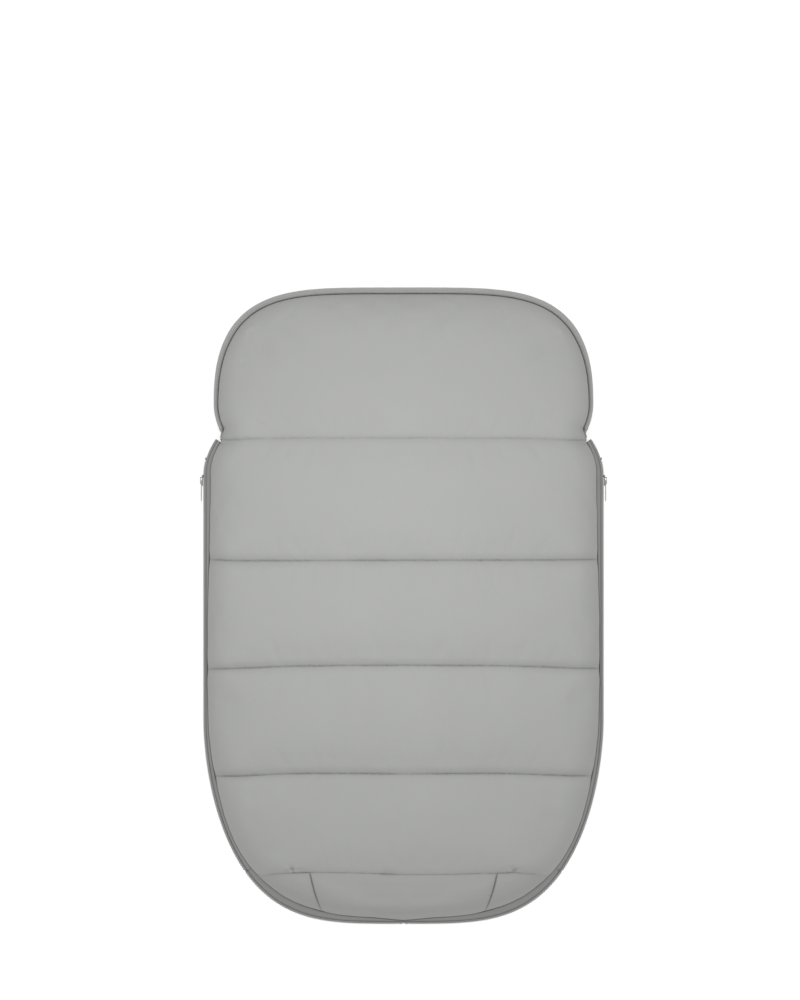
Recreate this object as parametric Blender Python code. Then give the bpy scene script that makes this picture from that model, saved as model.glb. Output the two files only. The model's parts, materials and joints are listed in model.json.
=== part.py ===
# Stroller footmuff: a quilted bag lying on its back, head end toward +Y, foot end toward -Y.
# The cover folds open over the foot end, its collar folds back, and a zip runs up each side.

import math

import bmesh
import bpy
from mathutils import Matrix, Vector
from mathutils.geometry import tessellate_polygon

# Plan of the bag, right half, in metres: the zip chain is the outline from the foot to the shoulders
chain_half_width = 0.2495
foot_curve_y = -0.1425
foot_curve_length = 0.2544
foot_side_power = 3.8
foot_end_power = 1.8
zip_top_y = 0.20875
zip_tuck = 0.015
zip_tuck_length = 0.045
tape_show = 0.0094
tape_show_shares = (
    (0.0, 0.80), (0.07, 1.0), (0.17, 0.75), (0.28, 0.56), (0.39, 0.45), (0.476, 0.51),
    (0.52, 0.69), (0.61, 0.71), (0.69, 0.56), (0.80, 0.90), (0.87, 0.80), (1.0, 0.47),
)

# The collar's outline above the shoulders
head_side_inset = 0.01225
head_half_width = chain_half_width - head_side_inset
head_curve_y = 0.2525
head_curve_length = 0.1456
head_side_power = 4.4
head_end_power = 2.5
shoulder_y = 0.2175
shoulder_step = 0.00975
shoulder_half_width = head_half_width - shoulder_step
piping_radius = 0.004
piping_side_share = 0.7
piping_rise = 0.003
piping_clear = 0.0006
shoulder_shares = (0.0, 0.333, 0.667)

# Seams across the cover, counted up from the foot seam
foot_seam_y = -0.3325
channel_lengths = (0.12375, 0.1325, 0.13375, 0.1525)

# Heights above the floor and the swell of the padding
rim_z = 0.046
roll_reach = 0.030
roll_rise = 0.038
head_roll_rise = 0.020
crown = 0.014
foot_crown = 0.009
head_crown = 0.008
puff = 0.006
inner_puff = 0.0055
crease_reach = 0.020
crease_power = 2.5
seam_fill = 0.003
collar_fill = 0.007
row_shares = (0.0, 0.15, 0.4, 1.0)

# Cloth and the running gap between neighbours
cloth = 0.0012
gap = 0.0003
seam_gap = 0.0003
hinge_gap = 0.0006

# The mat under the cover
mat_inset = 0.011
mat_head_inset = 0.008
mat_wadding_depth = 0.0192
panel_depth = 0.0012
panel_half_width = 0.150
panel_upper_y = 0.1825
panel_upper_length = 0.065
panel_foot_margin = 0.0769
panel_lower_length = 0.140
panel_lower_y = foot_curve_y - foot_curve_length + panel_foot_margin + panel_lower_length / 2
strap_y = 0.255
strap_width = 0.038
strap_half_length = 0.150
slot_length = 0.045
slot_width = 0.009
binding_border = 0.006
binding_depth = 0.0008
shoulder_slot_x = 0.060
shoulder_slot_upper_y = 0.120
shoulder_slot_lower_y = 0.060
waist_slot_x = 0.095
waist_slot_y = -0.060
crotch_slot_y = -0.150

# Zip: two rows of moulded teeth, one over the other, with a slider on each side
tooth_half_depth = 0.0012
row_height = 0.0022
row_slot = 0.0016
mat_row_z = 0.031
tape_depth = 0.0008
tape_end_seat = 0.0107
tape_under_hem = 0.002
row_start_y = 0.1825
stop_length = 0.003
chain_end_x = 0.0055
tape_end_x = 0.0015
tape_knee = 0.0005
tape_knee_drop = 0.0027
tape_elbow = 0.0030
tape_elbow_drop = 0.0067
tape_foot_drop = 0.0102
cover_tape_shares = (1 / 3, 3 / 4)

slider_length = 0.014
slider_height = 0.009
slider_plate = 0.0012
slider_post_length = 0.0035
slider_post_height = 0.0010
slider_rest_y = 0.157
slider_chamfer_share = 0.3
bridge_half_length = 0.0044
bridge_foot = 0.0014
bridge_width = 0.0016
bridge_beam = 0.0008
pull_depth = 0.0010
pull_width = 0.0060
pull_length = 0.026
pull_window_length = 0.0075
pull_arm = 0.0012

# The foot cap: a panel between two darts, with a gusset on each side
dart_top_x = 0.1169
dart_hem_x = 0.1019
gusset_end_share = 0.84
dart_step_shares = (0.0, 0.08, 0.25, 0.6)
gusset_step_shares = (0.0, 0.06, 0.2, 0.5, 0.8, 1.0)
foot_row_shares = (0.0, 0.05, 0.13, 0.33, 0.5, 0.75, 0.93, 1.0)
foot_puff_share = 0.7
dart_puff_share = 0.35

# Grid over each padded form: angles on the roll, then shares of the flat way to the middle
roll_angles = (0.0, 30.0, 60.0, 90.0)
middle_shares = (0.667, 0.333, 0.0)
collar_side_shares = (0.0, 0.018, 0.067, 0.133, 0.35, 0.65)
collar_row_shares = (0.0, 0.016, 0.043, 0.107, 0.35, 0.62, 0.84, 0.92, 0.979, 1.0)
collar_corner_share = 0.86

# How fine the curves are
piping_skip_steps = 2
foot_curve_steps = 16
straight_steps = 5
tuck_steps = 4
head_curve_steps = 16
fine_steps = 240
nudge_share = 0.002
mitre_least_share = 0.5
on_rim = 0.00001

hinge_rise = 0.003
corner_angle = 45.0


def chain_at(u):
    """Chain path down the right side: 0 to 1 leans in, 1 to 2 is straight, 2 to 3 rounds the foot."""
    if u <= 1:
        return Vector((chain_half_width - zip_tuck * (1 - u) ** 2, zip_top_y - zip_tuck_length * u))
    if u <= 2:
        top = zip_top_y - zip_tuck_length
        return Vector((chain_half_width, top + (foot_curve_y - top) * (u - 1)))
    turn = math.radians(90 * (u - 2))
    across = max(math.cos(turn), 0.0) ** (2 / foot_side_power)
    along = math.sin(turn) ** (2 / foot_end_power)
    return Vector((chain_half_width * across, foot_curve_y - foot_curve_length * along))


def chain_normal(u):
    """Outward normal of the chain path."""
    way = (chain_at(min(u + nudge_share, 3.0)) - chain_at(max(u - nudge_share, 0.0))).normalized()
    return Vector((-way.y, way.x))


def foot_place_at(y):
    """Place on the foot curve where it passes this y."""
    along = (foot_curve_y - y) / foot_curve_length
    return 2 + math.asin(along ** (foot_end_power / 2)) / math.radians(90)


def foot_place_beside(x):
    """Place on the foot curve where it passes this x."""
    return 2 + math.acos((x / chain_half_width) ** (foot_side_power / 2)) / math.radians(90)


def table_value(shares, at):
    """Straight-line reading of a table of (place, value)."""
    for (a, low), (b, high) in zip(shares, shares[1:]):
        if at <= b:
            return low + (high - low) * (at - a) / (b - a)
    return shares[-1][1]


def path_lengths(points):
    """Length along a path at each of its points."""
    lengths = [0.0]
    for a, b in zip(points, points[1:]):
        lengths.append(lengths[-1] + (b - a).length)
    return lengths


FINE_PLACES = [3 * i / fine_steps for i in range(fine_steps + 1)]
FINE_LENGTHS = path_lengths([chain_at(u) for u in FINE_PLACES])
WAY_SHARES = [(u, length / FINE_LENGTHS[-1]) for u, length in zip(FINE_PLACES, FINE_LENGTHS)]


def show_at(u):
    """How wide the tape shows beside the chain path here."""
    return tape_show * table_value(tape_show_shares, table_value(WAY_SHARES, u))


def piping_radius_at(y):
    """Piping's radius: slimmer down the sides than round the head end."""
    share = min(max((y - head_curve_y) / head_curve_length, 0.0), 1.0)
    swell = min(1.0, 2 * share ** (head_end_power / 2))
    return piping_radius * (piping_side_share + (1 - piping_side_share) * swell)


def inset_head(inset, stride=1):
    """Collar outline moved in by inset(y), from the shoulder to the middle of the head end."""
    outline = []
    rise = head_curve_y - shoulder_y
    for share in shoulder_shares:
        x = head_half_width - (head_half_width - shoulder_half_width) * (1 - share) ** 2
        outline.append(Vector((x, shoulder_y + rise * share)))
    for i in range(fine_steps + 1):
        turn = math.radians(90.0 * i / fine_steps)
        x = head_half_width * max(math.cos(turn), 0.0) ** (2 / head_side_power)
        y = head_curve_y + head_curve_length * math.sin(turn) ** (2 / head_end_power)
        outline.append(Vector((x, y)))
    moved = []
    for i, point in enumerate(outline):
        way = (outline[min(i + 1, len(outline) - 1)] - outline[max(i - 1, 0)]).normalized()
        moved.append(point - Vector((way.y, -way.x)) * inset(point.y))
    moved[-1].x = 0.0
    first = len(shoulder_shares)
    return moved[:first] + moved[first::stride]


def piping_inset(y):
    """From the collar's outline to the edge of its shell."""
    return 2 * piping_radius_at(y) + piping_clear


def rim_line():
    """Hem of the padded forms, right half, from the middle of the foot end to that of the head."""
    hem = [chain_at(u) - chain_normal(u) * show_at(u) for u in FINE_PLACES]
    hem[-1].x = 0.0
    return hem[::-1] + inset_head(piping_inset)


RIM = rim_line()


def nearest_rim(x, y):
    """Distance to the rim and the way to it, in the plan."""
    here = Vector((abs(x), y))
    best = None
    for a, b in zip(RIM, RIM[1:]):
        along = b - a
        share = (here - a).dot(along) / along.length_squared
        at = a + along * min(max(share, 0.0), 1.0)
        far = (here - at).length
        if best is None or far < best[0]:
            best = (far, at, Vector((along.y, -along.x)).normalized())
    far, at, normal = best
    inside = (here - at).dot(normal) < 0
    if far > on_rim and inside:
        normal = (at - here) / far
    if not inside:
        far = 0.0
    side = 1 if x >= 0 else -1
    return far, Vector((side * normal.x, normal.y))


def rim_x(y):
    """Half width of the rim at this y, and how squarely it faces the side."""
    for a, b in zip(RIM, RIM[1:]):
        if a.y <= y <= b.y and b.y > a.y:
            share = (y - a.y) / (b.y - a.y)
            way = (b - a).normalized()
            return a.x + (b.x - a.x) * share, abs(way.y)
    raise ValueError("no rim at y = %.4f" % y)


SEAMS = [foot_seam_y]
for length in channel_lengths:
    SEAMS.append(SEAMS[-1] + length)
collar_seam_y = SEAMS[-1]
head_end_y = head_curve_y + head_curve_length


def rise_at(y):
    """Roll and crown of the padding at this y: lower toward the head end and the foot end."""
    head = min(max((y - collar_seam_y) / (head_end_y - collar_seam_y), 0.0), 1.0)
    foot = min(max((SEAMS[2] - y) / (SEAMS[2] - SEAMS[0]), 0.0), 1.0)
    roll = roll_rise + (head_roll_rise - roll_rise) * head
    swell = crown + (head_crown - crown) * head + (foot_crown - crown) * foot
    return roll, swell


def padded_point(x, y, swell, depth):
    """Point of a layer: swell lifts it off the seam level, depth sinks it, both along the roll's normal."""
    far, normal = nearest_rim(x, y)
    roll, middle = rise_at(y)
    turn = math.acos(1 - min(far / roll_reach, 1.0))
    across = roll * math.cos(turn)
    upward = roll_reach * math.sin(turn)
    length = math.hypot(across, upward)
    arch = middle * max(1 - (x / chain_half_width) ** 2, 0.0)
    z = rim_z + (roll + arch) * math.sin(turn)
    off = swell * math.sin(turn) - depth
    return Vector((
        x + normal.x * across / length * off,
        y + normal.y * across / length * off,
        z + upward / length * off,
    ))


def crease(distance):
    """How far the padding has risen from a seam, 0 on it and 1 beyond the crease."""
    return 1 - max(1 - distance / crease_reach, 0.0) ** crease_power


def seam_rise(y):
    """The same across the bag, from the nearest seam of the cover."""
    return crease(min(abs(y - seam) for seam in SEAMS))


def channel_rows(low, high):
    """Rows of one channel from seam to seam, closer together beside the seams."""
    near = [share * crease_reach for share in row_shares]
    return [low + d for d in near] + [(low + high) / 2] + [high - d for d in reversed(near)]


def cover_row(y):
    """Plan points of one row across the cover."""
    edge, squareness = rim_x(y)
    steps = [edge - roll_reach * (1 - math.cos(math.radians(a))) / squareness for a in roll_angles]
    steps += [steps[-1] * share for share in middle_shares]
    return [Vector((-x, y)) for x in steps] + [Vector((x, y)) for x in reversed(steps[:-1])]


def new_material(name, colour, roughness, metallic):
    """Plain surface of one sub-part."""
    material = bpy.data.materials.new(name)
    material.use_nodes = True
    shader = material.node_tree.nodes["Principled BSDF"]
    shader.inputs["Base Color"].default_value = (*colour, 1.0)
    shader.inputs["Roughness"].default_value = roughness
    shader.inputs["Metallic"].default_value = metallic
    return material


GREY_CLOTH = (0.45, 0.455, 0.44)
FOOT_CLOTH = (0.36, 0.36, 0.35)
TAPE_GREY = (0.21, 0.21, 0.205)
TOOTH_GREY = (0.24, 0.24, 0.235)
LINING_GREY = (0.30, 0.30, 0.30)
WADDING_WHITE = (0.80, 0.80, 0.78)
GRIP_BLACK = (0.03, 0.03, 0.03)
SLIDER_GREY = (0.19, 0.19, 0.185)


def finish(name, bm, colour, roughness=0.9, metallic=0.0, parent=None, smooth=True):
    """One sub-part from its bmesh, faces out, with its own material, under its parent empty."""
    bmesh.ops.recalc_face_normals(bm, faces=bm.faces)
    mesh = bpy.data.meshes.new(name)
    bm.to_mesh(mesh)
    bm.free()
    mesh.materials.append(new_material(name, colour, roughness, metallic))
    if smooth:
        mesh.shade_smooth()
        mesh.set_sharp_from_angle(angle=math.radians(corner_angle))
    part = bpy.data.objects.new(name, mesh)
    bpy.context.collection.objects.link(part)
    under(part, parent)
    return part


def under(part, parent):
    """Hang a part, made in world places, under the empty on its joint's axis."""
    if parent:
        part.parent = parent
        part.matrix_parent_inverse = Matrix.Translation(-parent.location)


def add_axis(name, place, parent=None):
    """Empty on a joint's axis."""
    axis = bpy.data.objects.new(name, None)
    axis.empty_display_size = slider_length
    axis.location = place
    bpy.context.collection.objects.link(axis)
    under(axis, parent)
    return axis


def layer(name, rows, top, bottom, colour, parent=None):
    """Closed layer over a grid of plan points: top and bottom give each point its swell and depth."""
    bm = bmesh.new()
    verts = [[bm.verts.new(padded_point(p.x, p.y, *top(p))) for p in row] for row in rows]
    under_points = {}
    for row, line in zip(rows, verts):
        for p, vert in zip(row, line):
            under_points[vert] = padded_point(p.x, p.y, *bottom(p))
    for a, b in zip(verts, verts[1:]):
        for i in range(len(a) - 1):
            bm.faces.new((a[i], a[i + 1], b[i + 1], b[i]))
    faces = list(bm.faces)
    order = [vert for line in verts for vert in line]
    places = [under_points[vert] for vert in order]
    made = bmesh.ops.extrude_face_region(bm, geom=faces, use_keep_orig=True)["geom"]
    lowered = [item for item in made if isinstance(item, bmesh.types.BMVert)]
    spots = {tuple(round(c, 9) for c in vert.co): place for vert, place in zip(order, places)}
    for vert in lowered:
        vert.co = spots[tuple(round(c, 9) for c in vert.co)]
    return finish(name, bm, colour, parent=parent)


def quilt_layers(prefix, fills, rows, fill_rows, swell, sink, parent):
    """Shell, wadding and lining over the same grid, with a gap between each pair."""
    layer(
        prefix + "_shell", rows, lambda p: (swell(p), 0.0), lambda p: (swell(p), cloth),
        GREY_CLOTH, parent,
    )
    for name, grid in zip(fills, fill_rows):
        layer(
            name, grid, lambda p: (swell(p), cloth + gap), lambda p: (0.0, cloth + gap + sink(p)),
            WADDING_WHITE, parent,
        )
    layer(
        prefix + "_lining", rows,
        lambda p: (0.0, cloth + 2 * gap + sink(p)), lambda p: (0.0, 2 * cloth + 2 * gap + sink(p)),
        LINING_GREY, parent,
    )


def cover_swell(p):
    return puff * seam_rise(p.y)


def cover_sink(p):
    return seam_fill + inner_puff * seam_rise(p.y) * edge_share(p)


def edge_share(p):
    """0 on the rim and 1 once the roll is over."""
    far, _ = nearest_rim(p.x, p.y)
    return math.sin(math.acos(1 - min(far / roll_reach, 1.0)))


def make_cover(parent):
    """Quilted cover: one shell and one lining, with a filled channel between each pair of seams."""
    rows = []
    fill_rows = []
    for low, high in zip(SEAMS, SEAMS[1:]):
        ys = channel_rows(low, high)
        inner = [low + seam_gap] + ys[1:-1] + [high - seam_gap]
        fill_rows.append([cover_row(y) for y in inner])
        rows += [cover_row(y) for y in (ys if not rows else ys[1:])]
    rows[0] = cover_row(SEAMS[0] + seam_gap)
    rows[-1] = cover_row(SEAMS[-1] - seam_gap)
    names = ["channel_fill_%d" % (len(channel_lengths) - i) for i in range(len(channel_lengths))]
    quilt_layers("cover", names, rows, fill_rows, cover_swell, cover_sink, parent)


def collar_grid():
    """Plan points of the collar: seam below, rim on the other three sides, blended across."""
    head = inset_head(piping_inset)
    bottom_y = collar_seam_y + seam_gap
    bottom_x, _ = rim_x(bottom_y)
    corner_x = head_half_width * collar_corner_share
    corner = min(range(len(head)), key=lambda i: abs(head[i].x - corner_x))
    side = [Vector((bottom_x, bottom_y))] + head[: corner + 1]
    top = head[corner:]

    def along(points, share):
        total = sum((b - a).length for a, b in zip(points, points[1:]))
        left = total * share
        for a, b in zip(points, points[1:]):
            step = (b - a).length
            if left <= step:
                return a + (b - a) * (left / step)
            left -= step
        return points[-1].copy()

    columns = [-1 + s for s in collar_side_shares] + [0.0]
    columns += [1 - s for s in reversed(collar_side_shares)]
    grid = []
    for v in collar_row_shares:
        edge = along(side, v)
        row = []
        for u in columns:
            low = Vector((bottom_x * u, bottom_y))
            high = along(top, 1 - abs(u))
            high = Vector((math.copysign(high.x, u), high.y))
            flank = Vector((edge.x * u, edge.y))
            straight = low * (1 - v) + high * v
            corner_low = Vector((bottom_x * u, bottom_y))
            corner_high = Vector((side[-1].x * u, side[-1].y))
            row.append(straight + flank - (corner_low * (1 - v) + corner_high * v))
        grid.append(row)
    return grid


def make_collar(parent):
    """Collar: shell, wadding and lining, with a piping round its free edge."""
    rows = collar_grid()

    def swell(p):
        return puff * crease(p.y - collar_seam_y)

    def sink(p):
        return seam_fill + (collar_fill - seam_fill) * crease(p.y - collar_seam_y) * edge_share(p)

    quilt_layers("collar", ["collar_wadding"], rows, [rows], swell, sink, parent)
    edge = [row[-1] for row in rows[piping_skip_steps:]]
    edge += rows[-1][-2 : len(rows[-1]) // 2 - 1 : -1]
    right = []
    for point in edge:
        _, normal = nearest_rim(point.x, point.y)
        radius = piping_radius_at(point.y)
        right.append((point + normal * (radius + piping_clear), radius))
    path = right[:-1] + [(Vector((0.0, right[-1][0].y)), right[-1][1])]
    path += [(Vector((-point.x, point.y)), radius) for point, radius in reversed(right[:-1])]
    data = bpy.data.curves.new("collar_piping", "CURVE")
    data.dimensions = "3D"
    data.twist_mode = "Z_UP"
    data.bevel_depth = 1.0
    data.bevel_resolution = 2
    data.use_fill_caps = True
    spline = data.splines.new("POLY")
    spline.points.add(len(path) - 1)
    for spot, (point, radius) in zip(spline.points, path):
        spot.co = (point.x, point.y, rim_z + piping_rise, 1.0)
        spot.radius = radius
    data.materials.append(new_material("collar_piping", GREY_CLOTH, 0.9, 0.0))
    piping = bpy.data.objects.new("collar_piping", data)
    bpy.context.collection.objects.link(piping)
    under(piping, parent)


def foot_columns():
    """Columns of the foot cap as pairs of x, on the seam and on the hem: gusset, panel, gusset."""
    seam_end_x, _ = rim_x(foot_seam_y)
    gusset_end_x = dart_top_x + (seam_end_x - dart_top_x) * gusset_end_share
    panel = [(dart_top_x * (1 - s), dart_hem_x * (1 - s)) for s in dart_step_shares]
    gusset = []
    for s in reversed(gusset_step_shares):
        gusset.append((
            dart_top_x + (gusset_end_x - dart_top_x) * s, dart_hem_x + (gusset_end_x - dart_hem_x) * s
        ))
    right_panel = [(0.0, 0.0)] + panel[::-1]
    left_panel = [(-a, -b) for a, b in panel]
    right = gusset[::-1]
    left = [(-a, -b) for a, b in gusset]
    return left, left_panel + right_panel, right


def hem_y(x):
    """Where the foot hem passes this x."""
    for a, b in zip(RIM, RIM[1:]):
        if a.x <= abs(x) <= b.x and a.y < SEAMS[1]:
            return a.y + (b.y - a.y) * (abs(x) - a.x) / (b.x - a.x)
    raise ValueError("no hem at x = %.4f" % x)


def foot_rows(columns, trim_low=0.0, trim_high=0.0):
    """Plan points of the foot cap between the seam and the hem, trimmed back from the darts."""
    rows = []
    top_y = foot_seam_y - hinge_gap
    for share in foot_row_shares:
        row = []
        for i, (top_x, low_x) in enumerate(columns):
            shift = trim_low if i == 0 else (-trim_high if i == len(columns) - 1 else 0.0)
            bottom = Vector((low_x + shift, hem_y(low_x + shift)))
            row.append(Vector((top_x + shift, top_y)) * (1 - share) + bottom * share)
        rows.append(row)
    return rows


def dart_distance(p):
    """Distance from the nearest dart, below 0 on the gusset side."""
    share = (foot_seam_y - p.y) / (foot_seam_y - hem_y(dart_hem_x))
    dart = dart_top_x + (dart_hem_x - dart_top_x) * share
    return dart - abs(p.x)


def foot_swell(p):
    far = dart_distance(p)
    side = crease(abs(far)) if far >= 0 else dart_puff_share * crease(-far)
    return puff * foot_puff_share * side * crease(foot_seam_y - p.y)


def foot_sink(p):
    return seam_fill + inner_puff * crease(foot_seam_y - p.y) * edge_share(p) * foot_puff_share


def make_foot_cap():
    """Fixed end of the bag over the feet: a panel between two gussets, wadding and lining."""
    left, panel, right = foot_columns()
    for name, columns, low, high in (
        ("foot_gusset_left", left, 0.0, seam_gap),
        ("foot_panel_shell", panel, seam_gap, seam_gap),
        ("foot_gusset_right", right, seam_gap, 0.0),
    ):
        layer(
            name, foot_rows(columns, low, high),
            lambda p: (foot_swell(p), 0.0), lambda p: (foot_swell(p), cloth), FOOT_CLOTH,
        )
    rows = foot_rows(left[:-1] + panel + right[1:])
    layer(
        "foot_wadding", rows,
        lambda p: (foot_swell(p), cloth + gap), lambda p: (0.0, cloth + gap + foot_sink(p)),
        WADDING_WHITE,
    )
    layer(
        "foot_lining", rows,
        lambda p: (0.0, cloth + 2 * gap + foot_sink(p)),
        lambda p: (0.0, 2 * cloth + 2 * gap + foot_sink(p)), LINING_GREY,
    )


def plate(name, loops, low, depth, colour, roughness=0.9, metallic=0.0, parent=None, place=None):
    """Flat sheet from an outline and its holes, in the plan or through place(point, height)."""
    bm = prism(loops, low, depth, place or (lambda p, h: Vector((p.x, p.y, h))))
    return finish(name, bm, colour, roughness, metallic, parent, smooth=False)


def prism(loops, low, depth, place):
    """Outline and holes raised by a depth, each point set by place(point, height)."""
    bm = bmesh.new()
    flat = [[Vector((p.x, p.y, 0.0)) for p in loop] for loop in loops]
    points = [p for loop in flat for p in loop]
    verts = [bm.verts.new(p) for p in points]
    for triangle in tessellate_polygon(flat):
        bm.faces.new([verts[i] for i in triangle])
    made = bmesh.ops.extrude_face_region(bm, geom=list(bm.faces), use_keep_orig=True)["geom"]
    for item in made:
        if isinstance(item, bmesh.types.BMVert):
            item.co.z = depth
    for vert in bm.verts:
        vert.co = place(Vector((vert.co.x, vert.co.y)), low + vert.co.z)
    return bm


def rectangle(x, y, width, length):
    """Corners of a rectangle centred on x, y."""
    a, b = width / 2, length / 2
    return [Vector((x - a, y - b)), Vector((x + a, y - b)), Vector((x + a, y + b)), Vector((x - a, y + b))]


def zip_places():
    """Places of the zip's sections along the chain path, and which of them is on the foot seam."""
    places = [i / tuck_steps for i in range(tuck_steps)]
    places += [1 + i / straight_steps for i in range(straight_steps)]
    last = foot_place_beside(tape_end_x)
    seam = foot_place_at(foot_seam_y)
    rounding = [2 + (last - 2) * i / foot_curve_steps for i in range(foot_curve_steps + 1)]
    nearest = min(range(1, foot_curve_steps), key=lambda i: abs(rounding[i] - seam))
    rounding[nearest] = seam
    return places + rounding, len(places) + nearest


PLACES, SEAM_STATION = zip_places()
STATIONS = [chain_at(u) for u in PLACES]
NORMALS = [chain_normal(u) for u in PLACES]
SHOWS = [show_at(u) for u in PLACES]
LAST_STATION = len(STATIONS) - 1
ROW_STATION = next(i for i, p in enumerate(STATIONS) if p.y <= row_start_y)
ROW_DROP = STATIONS[ROW_STATION].y - row_start_y


def mat_outline():
    """Outline of the mat, inside the zip chain and the collar."""
    right = [p - n * mat_inset for p, n in zip(STATIONS, NORMALS)][:-1]
    right = right[::-1]
    head = inset_head(lambda y: mat_head_inset, fine_steps // head_curve_steps)
    right += head[:-1]
    left = [Vector((-p.x, p.y)) for p in reversed(right)]
    return [Vector((0.0, right[0].y))] + right + [head[-1]] + left


def slots():
    """Harness slots as name, x, y, width and length in the plan."""
    rows = []
    for side, sign in (("left", -1), ("right", 1)):
        x = sign * shoulder_slot_x
        rows.append(("shoulder_upper_" + side, x, shoulder_slot_upper_y, slot_length, slot_width))
        rows.append(("shoulder_lower_" + side, x, shoulder_slot_lower_y, slot_length, slot_width))
        rows.append(("waist_" + side, sign * waist_slot_x, waist_slot_y, slot_width, slot_length))
    rows.append(("crotch", 0.0, crotch_slot_y, slot_length, slot_width))
    return rows


def make_mat():
    """Mat from the floor up: grip panels and strap, shell, wadding, lining and slot bindings."""
    outline = mat_outline()
    holes = [rectangle(x, y, width, length) for _, x, y, width, length in slots()]
    for name, y, length in (
        ("anti_slip_panel_upper", panel_upper_y, panel_upper_length),
        ("anti_slip_panel_lower", panel_lower_y, panel_lower_length),
    ):
        pad = rectangle(0.0, y, 2 * panel_half_width, length)
        plate(name, [pad], 0.0, panel_depth, GRIP_BLACK, 0.7)
    plate(
        "back_strap", [rectangle(0.0, strap_y, 2 * strap_half_length, strap_width)], 0.0, panel_depth,
        GRIP_BLACK, 0.8,
    )
    shell_z = panel_depth + gap
    wadding_z = shell_z + cloth + gap
    lining_z = wadding_z + mat_wadding_depth + gap
    plate("mat_back_shell", [outline] + holes, shell_z, cloth, GREY_CLOTH)
    plate("mat_wadding", [outline] + holes, wadding_z, mat_wadding_depth, WADDING_WHITE)
    plate("mat_lining", [outline] + holes, lining_z, cloth, LINING_GREY)
    for name, x, y, width, length in slots():
        border = rectangle(x, y, width + 2 * binding_border, length + 2 * binding_border)
        plate(
            "slot_binding_" + name, [border, rectangle(x, y, width, length)], lining_z + cloth + gap,
            binding_depth, TAPE_GREY,
        )


def strip_sides(points, depth):
    """Both sides of a bent strip with this thickness, from its middle line."""
    sides = []
    for i, point in enumerate(points):
        before = (point - points[i - 1]).normalized() if i else None
        after = (points[i + 1] - point).normalized() if i + 1 < len(points) else None
        way = ((before or after) + (after or before)).normalized()
        normal = Vector((-way.y, way.x))
        onward = after or before
        mitre = max(normal.dot(Vector((-onward.y, onward.x))), mitre_least_share)
        reach = depth / 2 / mitre
        sides.append((point + normal * reach, point - normal * reach))
    return sides


def sweep(name, indices, sign, section, colour, roughness=0.8, metallic=0.0, parent=None, trims=(0, 0)):
    """Strip along the chain path: section(index) gives pairs of (inset, z) for both its sides."""
    bm = bmesh.new()
    rings = []
    for order, i in enumerate(indices):
        place, normal = STATIONS[i].copy(), NORMALS[i]
        way = Vector((normal.y, -normal.x))
        if order == 0:
            place += way * trims[0]
        if order == len(indices) - 1:
            place -= way * trims[1]
        ring = []
        for pair in section(i):
            ring.append([])
            for spot in pair:
                at = place - normal * spot.x
                ring[-1].append(bm.verts.new((sign * at.x, at.y, spot.y)))
        rings.append(ring)
    for a, b in zip(rings, rings[1:]):
        for k in range(len(a) - 1):
            for side in (0, 1):
                bm.faces.new((a[k][side], a[k + 1][side], b[k + 1][side], b[k][side]))
        for k in (0, len(a) - 1):
            bm.faces.new((a[k][0], a[k][1], b[k][1], b[k][0]))
    for ring in (rings[0], rings[-1]):
        for k in range(len(ring) - 1):
            bm.faces.new((ring[k][0], ring[k][1], ring[k + 1][1], ring[k + 1][0]))
    return finish(name, bm, colour, roughness, metallic, parent)


cover_row_z = mat_row_z + row_height + row_slot
cover_row_top = cover_row_z + row_height


def row_section(low):
    """Section of a row of teeth that starts at this height."""
    half = tooth_half_depth
    pairs = [(Vector((-half, z)), Vector((half, z))) for z in (low, low + row_height)]
    return lambda i: pairs


def mat_tape_section(i):
    """Mat tape: down from its row, then in to the side of the mat."""
    top = mat_row_z - gap
    line = [
        Vector((0.0, top)), Vector((tape_knee, top - tape_knee_drop)),
        Vector((tape_elbow, top - tape_elbow_drop)), Vector((tape_end_seat, top - tape_foot_drop)),
    ]
    return strip_sides(line, tape_depth)


def cover_tape_section(i):
    """Cover tape: up from its row, then in under the hem."""
    low = cover_row_top + gap
    end = rim_z - gap - tape_depth / 2
    first, second = cover_tape_shares
    line = [
        Vector((0.0, low)), Vector((tape_knee, low + (end - low) * first)),
        Vector((SHOWS[i] * first, low + (end - low) * second)),
        Vector((SHOWS[i] + tape_under_hem, end)),
    ]
    return strip_sides(line, tape_depth)


def make_zips(cover):
    """Zip on each side: tapes, rows of teeth and stops on the mat, on the foot cap and on the cover."""
    every = range(LAST_STATION + 1)
    upper = range(SEAM_STATION + 1)
    lower = range(SEAM_STATION, LAST_STATION + 1)
    end_trim = chain_end_x - tape_end_x
    for side, sign in (("left", -1), ("right", 1)):
        sweep("zip_tape_mat_" + side, every, sign, mat_tape_section, TAPE_GREY)
        sweep(
            "zip_tape_cover_" + side, upper, sign, cover_tape_section, TAPE_GREY, parent=cover,
            trims=(0, seam_gap),
        )
        sweep("foot_zip_tape_" + side, lower, sign, cover_tape_section, TAPE_GREY, trims=(seam_gap, 0))
        sweep(
            "zip_teeth_mat_" + side, every[ROW_STATION:], sign, row_section(mat_row_z), TOOTH_GREY, 0.5,
            trims=(ROW_DROP, end_trim),
        )
        sweep(
            "zip_teeth_cover_" + side, upper[ROW_STATION:], sign, row_section(cover_row_z), TOOTH_GREY,
            0.5, parent=cover, trims=(ROW_DROP, seam_gap),
        )
        sweep(
            "foot_zip_teeth_" + side, lower, sign, row_section(cover_row_z), TOOTH_GREY, 0.5,
            trims=(seam_gap, end_trim),
        )


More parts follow.
